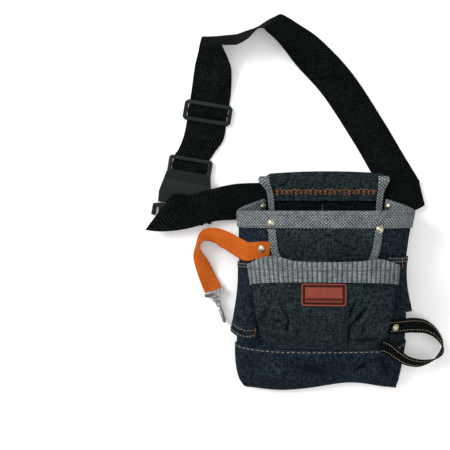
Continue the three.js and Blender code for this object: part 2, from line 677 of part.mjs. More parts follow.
function beltSlider() {
  const { width, height, bar, middle, end, corner, base, thick } = SLIDER;
  const slotHalf = width / 2 - end;
  const upper = rectangle(-slotHalf, middle / 2, slotHalf, height / 2 - bar);
  const lower = rectangle(-slotHalf, bar - height / 2, slotHalf, -middle / 2);
  const outline = softRectangle(-width / 2, -height / 2, width / 2, height / 2, corner);
  return plate(outline, [upper, lower], base, base + thick);
}

// Both halves have the strap bar's middle as origin and run down along -Y
function buckleFemale() {
  const b = BUCKLE;
  const slot = rectangle(-b.slotWidth / 2, -b.bar / 2 - b.slot, b.slotWidth / 2, -b.bar / 2);
  const shelf = -b.bar / 2 - b.slot - 2;
  const frame = softRectangle(-b.halfTop, shelf - b.corner, b.halfTop, b.bar / 2, b.corner);
  const eye = plate(frame, [slot], b.plateLow, b.plateHigh);
  const end = -b.femaleEnd;
  const outline = [
    [-b.halfTop, shelf], [b.halfTop, shelf], [b.halfEnd, -b.widest], [b.halfEnd - 1, end],
    [b.noseWide, end], [b.noseNarrow, end + b.noseDeep], [-b.noseNarrow, end + b.noseDeep],
    [-b.noseWide, end], [1 - b.halfEnd, end], [-b.halfEnd, -b.widest],
  ].reverse();
  const housing = plate(outline, [], b.low, b.high);
  const crossHalf = b.slotWidth / 2 + 1;
  const crossLine = rectangle(-crossHalf, -b.crossTo, crossHalf, -b.crossFrom);
  const crossbar = plate(crossLine, [], b.crossLow, b.crossHigh);
  return fromSolid(toSolid(housing).add(toSolid(eye)).add(toSolid(crossbar)));
}

function buckleMale() {
  const b = BUCKLE;
  const start = -b.maleFrom;
  const nose = -b.femaleEnd + b.noseDeep - 2 * GAP;
  const noseNarrow = b.noseNarrow + GAP;
  const noseWide = b.noseWide + 1.5 * GAP;
  const rightHalf = [
    [noseNarrow, nose], [noseWide, start], [b.maleHalf, start], [b.earOut, -b.earFrom], [b.earOut, -b.earTo],
    [b.earIn, -b.earTo], [b.earIn, -b.earNotch], [b.maleHalf, -b.earNotch], [b.maleHalf, -b.maleBase],
  ];
  const leftHalf = rightHalf.map(([x, y]) => [-x, y]).reverse();
  const outline = [...rightHalf, ...leftHalf].reverse();
  const base = plate(outline, [], b.low, b.high);
  const slot = rectangle(-b.slotWidth / 2, -b.maleEnd + b.maleBar, b.slotWidth / 2, -b.maleBase - 2);
  const frame = softRectangle(-b.maleHalf, -b.maleEnd, b.maleHalf, -b.maleBase + b.corner, b.corner);
  const eye = plate(frame, [slot], b.plateLow, b.plateHigh);
  return fromSolid(toSolid(base).add(toSolid(eye)));
}

// Crimp and hook have the swivel's middle as origin, run down along -Y, and stand upright in Z
function lanyardCrimp() {
  const { width, narrow, depth, thick } = CRIMP;
  const outline = [
    [-width / 2, 0], [-width / 2, -4], [-narrow / 2, -8], [-narrow / 2, -depth],
    [narrow / 2, -depth], [narrow / 2, -8], [width / 2, -4], [width / 2, 0],
  ];
  const window = rectangle(-3.2, -depth + 3, 3.2, -6.4);
  const body = toSolid(plate(outline, [window], -thick / 2, thick / 2));
  const bore = new THREE.CylinderGeometry(HOOK.stem + GAP, HOOK.stem + GAP, 8, 12).translate(0, -depth, 0);
  return fromSolid(body.subtract(toSolid(bore)));
}

function hookBody() {
  const top = -CRIMP.depth;
  const stemProfile = [
    [0, top + 5.6], [HOOK.head, top + 5.6], [HOOK.head, top + 3.6], [HOOK.stem, top + 3.6],
    [HOOK.stem, top - 0.8], [3.6, top - 0.8], [3.6, top - 4], [0, top - 4],
  ].map(([r, y]) => new THREE.Vector2(r, y)).reverse();
  const stem = new THREE.LatheGeometry(stemProfile, 12);
  const half = HOOK.shoulder / 2;
  const shoulder = new THREE.BoxGeometry(5, 5, HOOK.shoulder).translate(0, top - 5.5, 0);
  const route = [
    [-4.2, -7], [-5.2, -14], [-5, -23], [-2.6, -29], [1.4, -31], [4.8, -28.6], [5.2, -24.2],
  ].map(([z, y]) => new THREE.Vector3(0, top + y, z));
  const section = new THREE.Shape();
  section.absarc(0, 0, HOOK.wire, 0, 2 * Math.PI);
  const wire = new THREE.ExtrudeGeometry(section, {
    curveSegments: 6, steps: 12, extrudePath: new THREE.CatmullRomCurve3(route),
  });
  const ear = new THREE.BoxGeometry(5, 4, 4).translate(0, top - 6.4, half - 2);
  return fromSolid(toSolid(stem).add(toSolid(shoulder)).add(toSolid(wire)).add(toSolid(ear)));
}

function hookGate() {
  const top = -CRIMP.depth;
  const half = HOOK.gateWide / 2;
  const outline = [
    [3, top - 9], [5.8, top - 9], [6.8, top - 11], [6.9, top - 22.4],
    [6, top - 23.6], [4, top - 23.6], [3.4, top - 21],
  ];
  const bar = plate(outline, [], -half, half);
  return bar.rotateY(-Math.PI / 2);
}

function rivet() {
  const points = [new THREE.Vector2(0, 0), new THREE.Vector2(RIVET.radius, 0)];
  for (let k = 1; k <= 4; k += 1) {
    const angle = (Math.PI / 2) * (k / 4);
    const r = k === 4 ? 0 : RIVET.radius * Math.cos(angle);
    points.push(new THREE.Vector2(r, 0.5 + (RIVET.height - 0.5) * Math.sin(angle)));
  }
  return new THREE.LatheGeometry(points, RIVET.sides);
}

// Materials
const cloth = (color) => new THREE.MeshStandardMaterial({ color, roughness: 0.95, metalness: 0 });
const metal = (color) => new THREE.MeshStandardMaterial({ color, roughness: 0.3, metalness: 1 });
const DENIM = cloth(0x141e2a);
const GREEN_CLOTH = cloth(0x233032);
const GREY_TAPE = cloth(0x8a8d90);
const GREY_RIB = cloth(0x85898c);
const BLACK_WEBBING = cloth(0x16181a);
const ORANGE_WEBBING = cloth(0xd76e14);
const RED_PATCH = cloth(0xaf4b3c);
const DARK_PLASTIC = new THREE.MeshStandardMaterial({ color: 0x26302e, roughness: 0.5, metalness: 0 });
const BRASS = metal(0xc8c3a0);
const STEEL = metal(0xb8bcc0);

const pouch = new THREE.Group();

function addPiece(name, geometry, material, parent = pouch) {
  const mesh = new THREE.Mesh(geometry, material);
  mesh.name = name;
  parent.add(mesh);
  return mesh;
}

addPiece('back_panel', backPanel(), GREEN_CLOTH);
addPiece('inner_pocket', innerPocket(), GREEN_CLOTH);
addPiece('back_binding_left', backBinding(-1), GREY_TAPE);
addPiece('back_binding_right', backBinding(1), GREY_TAPE);
addPiece('main_wall', mainWall(), DENIM);
addPiece('rim_binding', rimBinding(), GREY_TAPE);
addPiece('bottom_band', bottomBand(), DENIM);
addPiece('pocket_back', pocketBack(), GREEN_CLOTH);
addPiece('pocket_binding_left', pocketBinding(-1), GREY_TAPE);
addPiece('pocket_binding_right', pocketBinding(1), GREY_TAPE);
addPiece('pocket_wall', pocketWall(), GREEN_CLOTH);
addPiece('pocket_band', pocketBand(), GREY_RIB);
addPiece('label_patch', labelPatch(), RED_PATCH);
for (const spec of SLEEVES) {
  addPiece(spec.name, sideSleeve(spec), DENIM);
}
addPiece('hammer_loop', strap(HAMMER_LOOP, LOOP_WIDTH, WEBBING), BLACK_WEBBING);
addPiece('lanyard_strap', strap(LANYARD, LANYARD_WIDTH, WEBBING), ORANGE_WEBBING);
addPiece('belt', strap(BELT, BELT_WIDTH, WEBBING), BLACK_WEBBING);

// Rivets sit on the tape or strap that they pin, with their axis along the body's normal
const RIVETS = [
  { name: 'rivet_back_left', around: 0.008, y: 97, height: -0.8 },
  { name: 'rivet_back_right', around: 0.992, y: 97, height: -0.8 },
  { name: 'rivet_front_left', around: aroundAt(-72, 88), y: 88.6, height: 2.3 },
  { name: 'rivet_front_right', around: aroundAt(67, 82), y: 82, height: 5.2 },
  { name: 'rivet_lanyard', around: aroundAt(-83.4, 57), y: 55, height: 4.9 },
  { name: 'rivet_loop', around: aroundAt(91, -50), y: -50, height: 3 },
];
for (const spec of RIVETS) {
  const mesh = addPiece(spec.name, rivet(), BRASS);
  const inward = spec.height < 0;
  const normal = bodyNormal(spec.around, spec.y).multiplyScalar(inward ? -1 : 1);
  mesh.position.copy(onBody(spec.around, spec.y, spec.height));
  mesh.quaternion.setFromUnitVectors(new THREE.Vector3(0, 1, 0), normal);
}

const slider = addPiece('belt_slider', beltSlider(), DARK_PLASTIC);
slider.position.set(SLIDER.x, SLIDER.y, 0);
slider.rotation.z = RAD(SLIDER.turn);

const buckle = new THREE.Group();
buckle.position.set(BUCKLE.x, BUCKLE.y, 0);
buckle.rotation.z = RAD(BUCKLE.turn);
pouch.add(buckle);
addPiece('buckle_female', buckleFemale(), DARK_PLASTIC, buckle);
addPiece('buckle_male', buckleMale(), DARK_PLASTIC, buckle);

const snapHook = new THREE.Group();
snapHook.position.set(CRIMP.x, CRIMP.y, CRIMP.z);
snapHook.rotation.z = RAD(CRIMP.turn);
pouch.add(snapHook);
addPiece('lanyard_crimp', lanyardCrimp(), STEEL, snapHook);
addPiece('hook_body', hookBody(), STEEL, snapHook);
addPiece('hook_gate', hookGate(), STEEL, snapHook);

export default pouch;
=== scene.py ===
import math
from bisect import bisect
from functools import lru_cache

import bmesh
import bpy
from bpy.props import FloatProperty, FloatVectorProperty, IntProperty, PointerProperty
from mathutils import Matrix, Vector, noise


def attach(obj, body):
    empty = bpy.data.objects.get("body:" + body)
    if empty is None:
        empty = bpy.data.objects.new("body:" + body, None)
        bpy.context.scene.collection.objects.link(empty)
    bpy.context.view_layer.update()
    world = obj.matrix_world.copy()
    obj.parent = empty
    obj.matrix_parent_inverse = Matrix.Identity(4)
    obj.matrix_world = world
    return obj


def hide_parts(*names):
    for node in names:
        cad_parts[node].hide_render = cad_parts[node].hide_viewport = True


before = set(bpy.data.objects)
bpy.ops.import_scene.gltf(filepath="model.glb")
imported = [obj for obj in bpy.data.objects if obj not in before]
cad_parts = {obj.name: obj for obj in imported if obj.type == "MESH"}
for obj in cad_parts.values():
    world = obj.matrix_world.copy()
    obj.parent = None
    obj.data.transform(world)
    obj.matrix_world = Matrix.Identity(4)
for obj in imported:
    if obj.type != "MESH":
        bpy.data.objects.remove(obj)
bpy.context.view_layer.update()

bl_info = {
    "name": "Tool Pouch",
    "version": (1, 0, 0),
    "blender": (4, 5, 0),
    "location": "View3D > Sidebar > Tool Pouch",
    "description": "Dresses the solids of a denim tool pouch with cloth, tape, webbing and metal",
    "category": "Object",
}

MM = 0.001


def table(columns, *rows):
    """Rows of numbers as dictionaries under the named columns."""
    names = columns.split()
    return [dict(zip(names, row)) for row in rows]


# Columns of the tables of folds and of straps: a strap's middle line, the heading and tilt of the
# line across it, and its width along that line
FOLD = "x y lean reach width height"
STRAP = "x y z across tilt length"
SIDES = (("left", -1), ("right", 1))

# How far past its first and last row a table's curve is followed, as a share of the step between rows
OVERRUN = 0.2

# Body sections from the rim down, in millimetres
BODY = table(
    "y left right back depth foot lift hem",
    (106, 122, 121, 84, 74, 6.2, 16, 0), (60, 121, 113, 85, 70, 5.6, 9, 0),
    (10, 121, 109, 88, 66, 2.4, 3, 0), (-45, 123, 112, 93, 58, 2.4, 0, 0),
    (-95, 125, 107, 99, 43, 2.4, 0, 0.2), (-125, 121, 101, 100, 24, 2.4, 0, 0.7),
    (-141, 113, 97, 96, 4, 2.4, 0, 1),
)
RIM_Y = 103
BOTTOM_Y = -141
RIM_REACH = (RIM_Y - BOTTOM_Y) / 12
RIM_GAP = 1.1
BODY_ROUND = 3
FLARE_SHARE = 0.45
LIFT_SHARE = 0.5
HEM_WAVES = table("x span rise", (38, 40, 8), (-62, 42, -5))
BAND_TOP = {"front": -82, "left": -72, "right": -60, "hem": 2, "inset": 1 / 34, "height": 2.2}
PUCKER = {"height": 0.25, "rate": 210, "at": 0.9, "span": 0.08}

# Size and height of the low waves of slack cloth
SLACK = {"body": (26, 0.5), "pocket": (22, 0.9), "flap": (17, 1.1)}

# Heights of a fold at which its painted shade starts and is full, and the share by which a painted highlight
# makes a ridge paler
FOLD_PAINTED_SHADE = {"dark": (0.5, 2.8), "pale": (0.4, 2.8), "rubbed": 0.7}
FOLD_CUT = 3

# Folds of the denim: first the large ones, then the creases and puckers between them
BODY_FOLDS = table(
    FOLD,
    (-70, -112, 18, 34, 9, 2.2), (-20, -110, -12, 38, 10, -2.4), (48, -112, 62, 26, 9, 2.6),
    (84, 20, 78, 34, 9, -2.2), (-92, 66, 70, 24, 8, -1.8), (48, -106, 41, 13, 3, -6),
    (80, -108, -62, 15, 2.6, -5), (65.6, -113, 60, 10, 5, 2.6), (87.7, -114.5, -70, 15, 2.6, 2.2),
    (52, -124, 20, 14, 3.4, 1.4), (-100, -112, 98, 22, 4, -1.3), (-46, -126, -24, 22, 4, 1.3),
    (6, -100, 8, 30, 4, -1.1), (90, 60, 62, 20, 4, 1.2), (-98, 30, 84, 24, 4, -1.2),
)

# Front pocket from its mouth down
POCKET = table(
    "y left right join_left join_right proud",
    (41, 108, 97, 72, 68, 28), (12, 104, 95, 69, 66, 31), (-30, 99, 91, 66, 63, 26),
    (-58, 93, 83, 64, 61, 15), (-74, 81, 71, 61, 58, 6), (-80, 70, 62, 60, 57, 2.4),
)
POCKET_FOLDS = table(
    FOLD,
    (29.4, -59, 90, 17, 1.8, -6), (34, -62, 88, 12, 3, 2.4), (41.6, -31.6, 51, 16, 2, -6),
    (46.5, -36, 51, 14, 3, 3), (32.2, -22.2, 69, 14, 2, -4.6), (37, -27, 60, 12, 2.2, 2),
    (47.8, -50.5, 82, 8, 1.8, -4.8), (52, -65, 4, 16, 3, -5), (62, -50, 12, 16, 8, 3.4),
    (-81, -31, 59, 17, 3.2, -3.4), (-74, -35, 59, 13, 3, 2), (-54, -27, -61, 10, 2.2, -4),
    (-50.6, -47, 83, 11, 2.2, -5.4), (-45.6, -45, 83, 11, 2.8, 2.6), (-63.3, -39.5, 0, 7, 3.2, -3.8),
    (-69, -62, -10, 9, 2.2, -3.8), (-58, -56, 24, 9, 3.4, 2), (-70, -14, -64, 16, 3.2, 1.6),
    (-8, -64, 4, 26, 3, 1.6), (6, -34, 20, 30, 7, 1.2),
)
POCKET_BOTTOM = -80
POCKET_MOUTH = table(
    "across y",
    (0, 41), (0.12, 35), (0.3, 46), (0.42, 39.6), (0.6, 39.6), (0.71, 42.4), (0.88, 35), (1, 41),
)
SECTIONS = {"body": BODY, "pocket": POCKET}
POCKET_ROUND = 2.6
POCKET_OFFSET = 0.6
POCKET_FLARE = 0.5
FULL_FOLD = 15

# Ribbed band: edges, ribs, and the shares of its cloth on the outside and at the end of its roll
BAND = {"middle": 14.2, "left": 6.5, "right": 8.5, "low": 1.2, "thick": 0.9, "inside": 1.4, "below": 0.5,
        "ribs": 38, "rib_height": 1.2, "from": 0.04, "to": 0.96, "level": 25, "seam": 29, "end": 1.5,
        "outer": 0.6, "rolled": 0.75, "roll": 1.8, "turned": 15, "spread": 0.88}

# Label: edges, and the distances from its edge at which a pressed line starts, is full, and ends
LABEL = {"left": -32, "right": 24, "top": 12.4, "bottom": -17, "low": 0.5, "thick": 1.6, "corner": 3.0,
         "pressed": 0.5, "groove": (1.5, 2.0, 4.6, 5.2), "bar": (6.6, 7.0, 10.4, 10.8), "inner": (5.4, 6.0)}
LABEL_SIZE = (LABEL["right"] - LABEL["left"], LABEL["top"] - LABEL["bottom"])
POCKET_BACK = table(
    "y left right",
    (81.5, 75, 71), (66, 73, 69), (53, 71, 67), (38, 66, 62.5), (-10, 59, 56.5), (-66, 54, 52),
)
POCKET_TAPE = {"reach": 9, "share": 8 / 14, "low": 1.8, "gap": 0.4}

# Back panel with its belt tunnel, the sheet inside it, and the tapes on both
BACK_EDGE = table(
    "y half",
    (-143, 99), (-90, 103), (0, 92), (90, 86), (118, 78), (138, 82.5), (149, 84.5), (157, 73),
)
TUNNEL = {"top": 156, "radius": 4.6, "hem": 118, "lip": 1.5, "bow": 3, "bow_from": 140, "dip": -0.2,
          "back": (145, 60, -142)}
FLAP = table("y z", (118, 8.2), (128, 9.4), (138, 10.4))
FLAP_FOLDS = table(
    FOLD,
    (-52, 144, 52, 9, 2.4, -3), (-46, 141, 52, 8, 3, 1.6), (58, 144, -62, 9, 2.2, -2.8),
    (64, 141, -62, 8, 3, 1.4), (20, 147, -74, 7, 2.2, -2),
)
CORNER_LIFT = {"x": 48, "y": 104, "reach": 17, "rise": 1.9}
INNER = table("y z", (126, 6.3), (96, 6.1), (80, 4), (40, 3), (-60, 3))
INNER_HALF = 75
BACK_TAPE = table(
    "y left right z wide",
    (152, 90.5, 86, 11.4, 14), (146, 92, 87.5, 12.2, 15.5), (139, 86.5, 84, 12, 12),
    (131, 81, 80.4, 11.2, 9), (116, 78.6, 78.6, 9.5, 9), (98, 78.4, 78.4, 7.4, 9), (74, 79, 79, 4.8, 9),
    (40, 80, 80, 4.1, 9), (-10, 80, 80, 4.1, 9),
)
BACK_TAPE_THICK = 1.6
BACK_TAPE_BULGE = 0.25

# Side sleeves: share of the way round the body at both edges, and how far the cloth stands out
SLEEVES = {
    "left": {"slant": 8, "rows": table(
        "y start end proud",
        (36, 0.1, 0.325, 2), (8, 0.1, 0.315, 5), (-25, 0.1, 0.3, 12), (-56, 0.1, 0.285, 20),
    )},
    "right": {"slant": 0, "rows": table(
        "y start end proud",
        (45, 0.9, 0.7, 2), (22, 0.9, 0.71, 5), (-3, 0.9, 0.725, 9), (-28, 0.9, 0.74, 13),
    )},
}
SLEEVE_STAND = 0.6
SLEEVE_ROUND = 0.8
SLEEVE_HEM = 0.5

# Straps from their sewn ends
HAMMER_LOOP = table(
    STRAP,
    (84, -49.4, 51.5, 90, 9, 20), (93, -49.4, 47.4, 90, 9, 20), (104, -49.4, 40, 90, 6, 20),
    (119, -50, 28.4, 86, -8, 20), (138, -54, 17.4, 78, -38, 20), (153, -65, 13, 72, -58, 20),
    (161, -82, 12, 70, -73, 20), (152, -97, 13, 76, -104, 20), (132, -103, 19, 82, -126, 20),
    (113, -99, 30, 86, -136, 20), (97, -89, 42, 88, -152, 20), (84, -79, 50, 90, -166, 20),
    (74, -74, 53.6, 90, -168, 20),
)
LANYARD = table(
    STRAP,
    (-73.8, 55.6, 73.4, -94, -4, 18), (-90, 52.4, 67, -97, -6, 24), (-105, 50.4, 58.4, -104, -8, 26),
    (-121, 57.4, 46, -120, -10, 25), (-136, 64.4, 30, -112, 0, 24), (-157, 70, 17, -62, 24, 25),
    (-171, 67, 13.8, -44, 62, 25), (-176, 54, 13.4, -22, 70, 25), (-173.4, 38, 8.4, -6, 34, 25),
    (-167.4, 20.6, 4, -2, 8, 25), (-160.6, 4.6, 6, 8, 0, 25), (-154.8, -7.4, 8.3, 20, 0, 25),
)
BELT = table(
    STRAP,
    (-206, 103, 13.4, 62, 0, 56), (-223.4, 102.6, 13.8, 54, 0, 62), (-230.6, 102.2, 15.8, 53, 0, 62),
    (-223, 101.4, 18, 55, 0, 62), (-206, 100.6, 17.8, 75, 0, 51), (-186, 103.4, 15.6, 92, 0, 46),
    (-156, 111.6, 12.6, 98, 0, 45), (-124, 116.5, 5.8, 94, 0, 50), (-92, 118, 3, 90, 0, 50),
    (-30, 119, 3, 90, 0, 50), (40, 120, 3, 90, 0, 50), (58, 120, 4.3, 89, 1, 50), (74, 120, 4.5, 88, 1, 50),
    (86, 119.6, 4.6, 84, 0, 50), (100, 120, 7, 86, 0, 48), (118, 123.6, 8.8, 95, 0, 40),
    (131.6, 128.6, 5.2, 104, 0, 33), (120, 131.6, 1.8, 74, 0, 40), (104.6, 141, 1.3, 46, 0, 48),
    (91, 160, 0.95, 31, 0, 50), (59, 214, 1.15, 36, 0, 50), (15, 281, 1.45, 34, 0, 50),
    (-21, 320, 4.8, 50, -8, 50), (-45.5, 342.5, 14, 55, -32, 50), (-59.6, 354, 17.2, 59, -40, 50),
    (-69.4, 360.2, 18, 66, -44, 50), (-73.8, 359.8, 20.6, 67, -52.5, 50),
    (-82.1, 358.5, 23.8, 78, -67.5, 50), (-93, 353.4, 24.9, 96, -76, 50), (-107, 345, 24, 108, -68, 50),
    (-121, 339.2, 23.2, 112, -64, 50), (-136, 338, 21.4, 136, -56, 50), (-150.7, 338, 19.4, 147, -48.5, 50),
    (-156.1, 338.1, 18.2, 150, -44.5, 50), (-156.2, 333.9, 17.4, 154, -41.5, 50),
    (-154.6, 319, 11, 160, -22, 50), (-155.4, 302, 7, 172, -12, 54), (-158.6, 268, 2.8, 170.5, 0, 55.6),
    (-161.9, 248.7, 2.4, 170.5, 0, 55.6), (-162.6, 243.8, 7.3, 170.5, 0, 55.6),
    (-163.2, 240.8, 7.7, 170.5, 0, 55.6), (-163.8, 237.8, 7.3, 170.5, 0, 55.6),
    (-164.5, 232.9, 2.4, 170.5, 0, 55.6), (-169, 207, 2.8, 171, 0, 55.6), (-180, 187, 2.95, 170.5, 0, 49),
    (-185.8, 178.4, 2.65, 170.5, 0, 49.6), (-187, 172.6, 2.6, 170.5, 0, 49.6),
    (-187.4, 170.3, 4.4, 170.5, 0, 49.6), (-187.9, 167.7, 6.5, 170.5, 0, 49.6),
    (-188.3, 165.2, 6.8, 170.5, 0, 49.6), (-188.7, 162.8, 6.4, 170.5, 0, 49.6),
    (-189.35, 158.5, 3.8, 170.5, 0, 49.6), (-188.9, 161.2, 1.2, 170.5, 0, 49.6),
    (-187.8, 167.9, 0.95, 170.5, 0, 49.6), (-186.2, 177.8, 0.95, 170.5, 0, 49.6),
    (-181.4, 184.4, 0.95, 170.5, 0, 49.6), (-169.6, 206, 0.95, 170.5, 0, 49),
    (-164.4, 234, 0.95, 170.5, 0, 49),
)

# Creases across the belt, drawn as shade on its flat runs
BELT_FOLDS = table(
    FOLD,
    (1.7, 287.5, 5, 22, 2.4, -2.6), (4, 280, 5, 20, 5, 1.4), (55, 228, 64, 24, 3, -2.2),
    (48, 216, 64, 26, 5, 2), (-152, 326, -12, 24, 4, -2.4), (-160, 296, -20, 24, 10, 2.2),
    (-100, 352, 20, 20, 5, -2), (98, 156, 20, 24, 4, -2), (-166.6, 201, -2, 26, 2.2, -2.8),
    (-166, 207, -2, 24, 3.4, 2.4), (-172, 193, -8, 24, 5, -1.4),
)

# Rivets by the x of their place on the body's front, or by their share of the way round it
RIVETS = {
    "back_left": {"around": 0.008, "y": 97, "height": -4.4},
    "back_right": {"around": 0.992, "y": 97, "height": -4.4},
    "front_left": {"x": -72, "at": 88, "y": 88.6, "height": 2.3},
    "front_right": {"x": 67, "at": 82, "y": 82, "height": 5.2},
    "lanyard": {"x": -83.4, "at": 57, "y": 55, "height": 4.9},
    "loop": {"x": 91, "at": -50, "y": -50, "height": 3},
}
RIVET_FLANGE = ((1.0, 0.0), (1.0, 0.25), (0.93, 0.36), (0.84, 0.3))
RIVET_DOME = {"wide": 0.8, "low": 0.34, "steps": 5}

# Raised bars of the buckle's two halves, in the buckle's own frame: x, y, z above its face, size
BUCKLE = {"x": -186.5, "y": 175.8, "turn": -9.5, "top": 10.6}
SOCKET_BARS = [(0, y, 0.2, (60, 2.2, 2.6)) for y in (-22.2, -26, -29.8)]
SOCKET_BARS += [(0, -58.4, -0.3, (30, 1.2, 1.4)), (0, -19.5, -6.6, (53, 4.2, 4))]
TONGUE_BARS = [(x, y, -0.3, (4, 0.9, 1.4)) for x in (-40, 40) for y in (-73, -75, -77)]

# Rows of thread: where each starts and ends, its place on its seam and its height above the cloth
SEAMS = {
    "band": {"ends": (0.05, 0.95), "share": 0.955, "height": 2.3},
    "sleeve": {"ends": (0.04, 0.96), "down": (2.0, 6.0), "up": (3.0, 10.2), "height": 2.2},
    "tack": {"long": 13, "left": 0.965, "right": 0.5, "down": 15, "height": 2.4},
    "ribs": {"ends": (0.08, 0.92), "height": 1.5},
    "loop": {"ends": (0.01, 0.99), "across": (-0.3, 0.3), "height": 0.7},
    "rim": {"ends": (0.02, 0.98), "up": (2, 17), "height": 2.1},
    "tape": {"ends": (2, 80), "out": (-7.2, -1.2), "height": 4.4},
    "inner": {"ends": (64, 113), "x": -3.5, "height": 0.6},
    "flap": {"ends": (-69, 69), "y": 130, "turns": 21, "swing": 2.6, "rise": 1.8, "beat": 3.5,
             "height": 1.15},
}

# Faces across and along each sheet
GRIDS = {
    "tunnel_panel": (70, 150), "inside_sheet": (50, 60), "tunnel_tape_left": (10, 90),
    "tunnel_tape_right": (10, 90), "denim_wall": (140, 110), "rim_tape": (150, 40), "denim_band": (130, 40),
    "pocket_lining": (50, 60), "pocket_tape_left": (24, 60), "pocket_tape_right": (24, 60),
    "pocket_bag": (150, 100), "ribbed_band": (8 * BAND["ribs"], 40), "label": (112, 56),
    "sleeve_left": (50, 60), "sleeve_right": (50, 60), "waist_belt": (16, 470), "tool_loop": (8, 120),
    "orange_strap": (10, 120),
}
RUBBED_REACH = 0.0022
SMALLEST_EDGE = 1e-6

# Camera above the floor and the point that it looks at, in metres
CAMERA_AT = (-0.0385, 0.1204, 1.2)
CAMERA_AIM = (-0.1393, 0.084, 0.0)
CAMERA_VIEW = 29.4

# Floor's half width and own glow, the world's light, and each lamp's place, size and power
FLOOR_SIZE = 3.0
FLOOR_GLOW = 0.16
WORLD_LIGHT = 0.34
LIGHTS = {
    "overhead": ((0.0, 0.15, 1.9), 2.2, 17),
    "left_soft": ((-1.5, 0.9, 1.3), 1.0, 35),
    "right_soft": ((1.4, -0.7, 1.2), 1.2, 9),
}


def srgb(red, green, blue):
    """A screen colour of 0 to 255 as the linear colour that shaders take."""
    return tuple(((value / 255 + 0.055) / 1.055) ** 2.4 for value in (red, green, blue))


def length_property(name, description, default):
    return FloatProperty(name=name, description=description, default=default, unit="LENGTH")


class PouchSizes(bpy.types.PropertyGroup):
    cloth: length_property("Cloth", "Thickness of the outer cloth", 0.0016)
    lining: length_property("Lining", "Thickness of the thin sheets", 0.0012)
    tape: length_property("Tape", "Thickness of the binding tape", 0.001)
    webbing: length_property("Webbing", "Thickness of the straps", 0.0014)
    edge: length_property("Edge", "Rounding of cut cloth edges", 0.0004)
    plastic_edge: length_property("Plastic edge", "Rounding of moulded edges", 0.0007)
    metal_edge: length_property("Metal edge", "Rounding of metal edges", 0.0004)
    stitch: length_property("Stitch", "Length of one stitch", 0.0034)
    stitch_gap: length_property("Stitch gap", "Gap between two stitches", 0.0009)
    thread: length_property("Thread", "Thickness of the sewing thread", 0.0008)
    rivet_radius: length_property("Rivet radius", "Radius of a rivet's cap", 0.0048)
    rivet_height: length_property("Rivet height", "Height of a rivet's cap", 0.0024)
    rivet_sides: IntProperty(name="Rivet sides", description="Steps round a rivet", default=32, min=12)


def colour_property(name, description, red, green, blue):
    return FloatVectorProperty(
        name=name, description=description, subtype="COLOR", size=3, min=0.0, max=1.0,
        default=srgb(red, green, blue))


class PouchColours(bpy.types.PropertyGroup):
    denim: colour_property("Denim", "Dark threads of the denim", 10, 18, 25)
    denim_light: colour_property("Denim light", "Pale threads of the denim", 54, 68, 78)
    green: colour_property("Green cloth", "Dark threads of the pocket cloth", 13, 22, 25)
    green_light: colour_property("Green light", "Pale threads of the pocket cloth", 66, 80, 84)
    # The sheet inside uses darker copies of the pocket cloth's colours: painted shade for the shaded inside
    # of the pouch
    inside: colour_property("Inside cloth", "Dark threads of the sheet inside", 6, 11, 13)
    painted_shade_inside_light: colour_property("Inside light", "Pale threads of the sheet inside", 40, 50, 54)
    tape: colour_property("Tape", "Dark threads of the grey tape", 46, 52, 54)
    tape_light: colour_property("Tape light", "Pale threads of the grey tape", 166, 173, 176)
    webbing: colour_property("Webbing", "Dark threads of the belt", 2, 5, 5)
    webbing_light: colour_property("Webbing light", "Pale threads of the belt", 46, 52, 52)
    orange: colour_property("Orange strap", "Dark threads of the lanyard", 140, 54, 2)
    orange_light: colour_property("Orange light", "Pale threads of the lanyard", 216, 112, 44)
    patch: colour_property("Patch", "Face of the label patch", 138, 66, 53)
    patch_dark: colour_property("Patch groove", "Groove of the label patch", 52, 10, 6)
    plastic: colour_property("Plastic", "Buckle and slider", 9, 22, 20)
    plastic_worn: colour_property("Plastic worn", "Rubbed places of the plastic", 16, 30, 27)
    brass: colour_property("Rivet", "Caps of the rivets", 196, 192, 164)
    brass_dull: colour_property("Rivet dull", "Tarnish on the rivets", 136, 128, 98)
    steel: colour_property("Hook", "Plating of the hook", 156, 158, 160)
    steel_dull: colour_property("Hook dull", "Dull places of the hook", 82, 84, 86)
    tan_thread: colour_property("Tan thread", "Top stitching", 200, 174, 140)
    orange_thread: colour_property("Orange thread", "Bar tacks and flap stitching", 250, 138, 34)
    grey_thread: colour_property("Grey thread", "Stitching on the tapes", 104, 106, 110)
    floor: colour_property("Floor", "Studio floor", 246, 246, 246)


def mix(a, b, share):
    return a + (b - a) * share


def ease(value, low, high):
    """Smooth step from 0 at low to 1 at high."""
    share = min(max((value - low) / (high - low), 0.0), 1.0)
    return share * share * (3 - 2 * share)


def ridge(value, start, full, last, end):
    """Smooth step up to 1 and down again."""
    return ease(value, start, full) * (1 - ease(value, last, end))


def side_of(x):
    return "left" if x < 0 else "right"


def hermite(t):
    """Weights of a curve's start, its end and its slopes there."""
    t2, t3 = t * t, t * t * t
    return 2 * t3 - 3 * t2 + 1, 3 * t2 - 2 * t3, t3 - 2 * t2 + t, t3 - t2


def column(rows, key, name, at):
    """One named column of a table, read by a smooth curve between its rows."""
    sign = 1 if rows[-1][key] > rows[0][key] else -1
    i = 0
    while i < len(rows) - 2 and sign * at > sign * rows[i + 1][key]:
        i += 1

    def slope(k):
        a = rows[max(k - 1, 0)]
        b = rows[min(k + 1, len(rows) - 1)]
        return (b[name] - a[name]) / (b[key] - a[key])

    span = rows[i + 1][key] - rows[i][key]
    start, end, leave, arrive = hermite(min(max((at - rows[i][key]) / span, -OVERRUN), 1 + OVERRUN))
    ends = start * rows[i][name] + end * rows[i + 1][name]
    return ends + span * (leave * slope(i) + arrive * slope(i + 1))


@lru_cache(maxsize=None)
def section(name, y):
    """All columns of the body's or the pocket's table at one height."""
    rows = SECTIONS[name]
    return {key: column(rows, "y", key, y) for key in rows[0] if key != "y"}


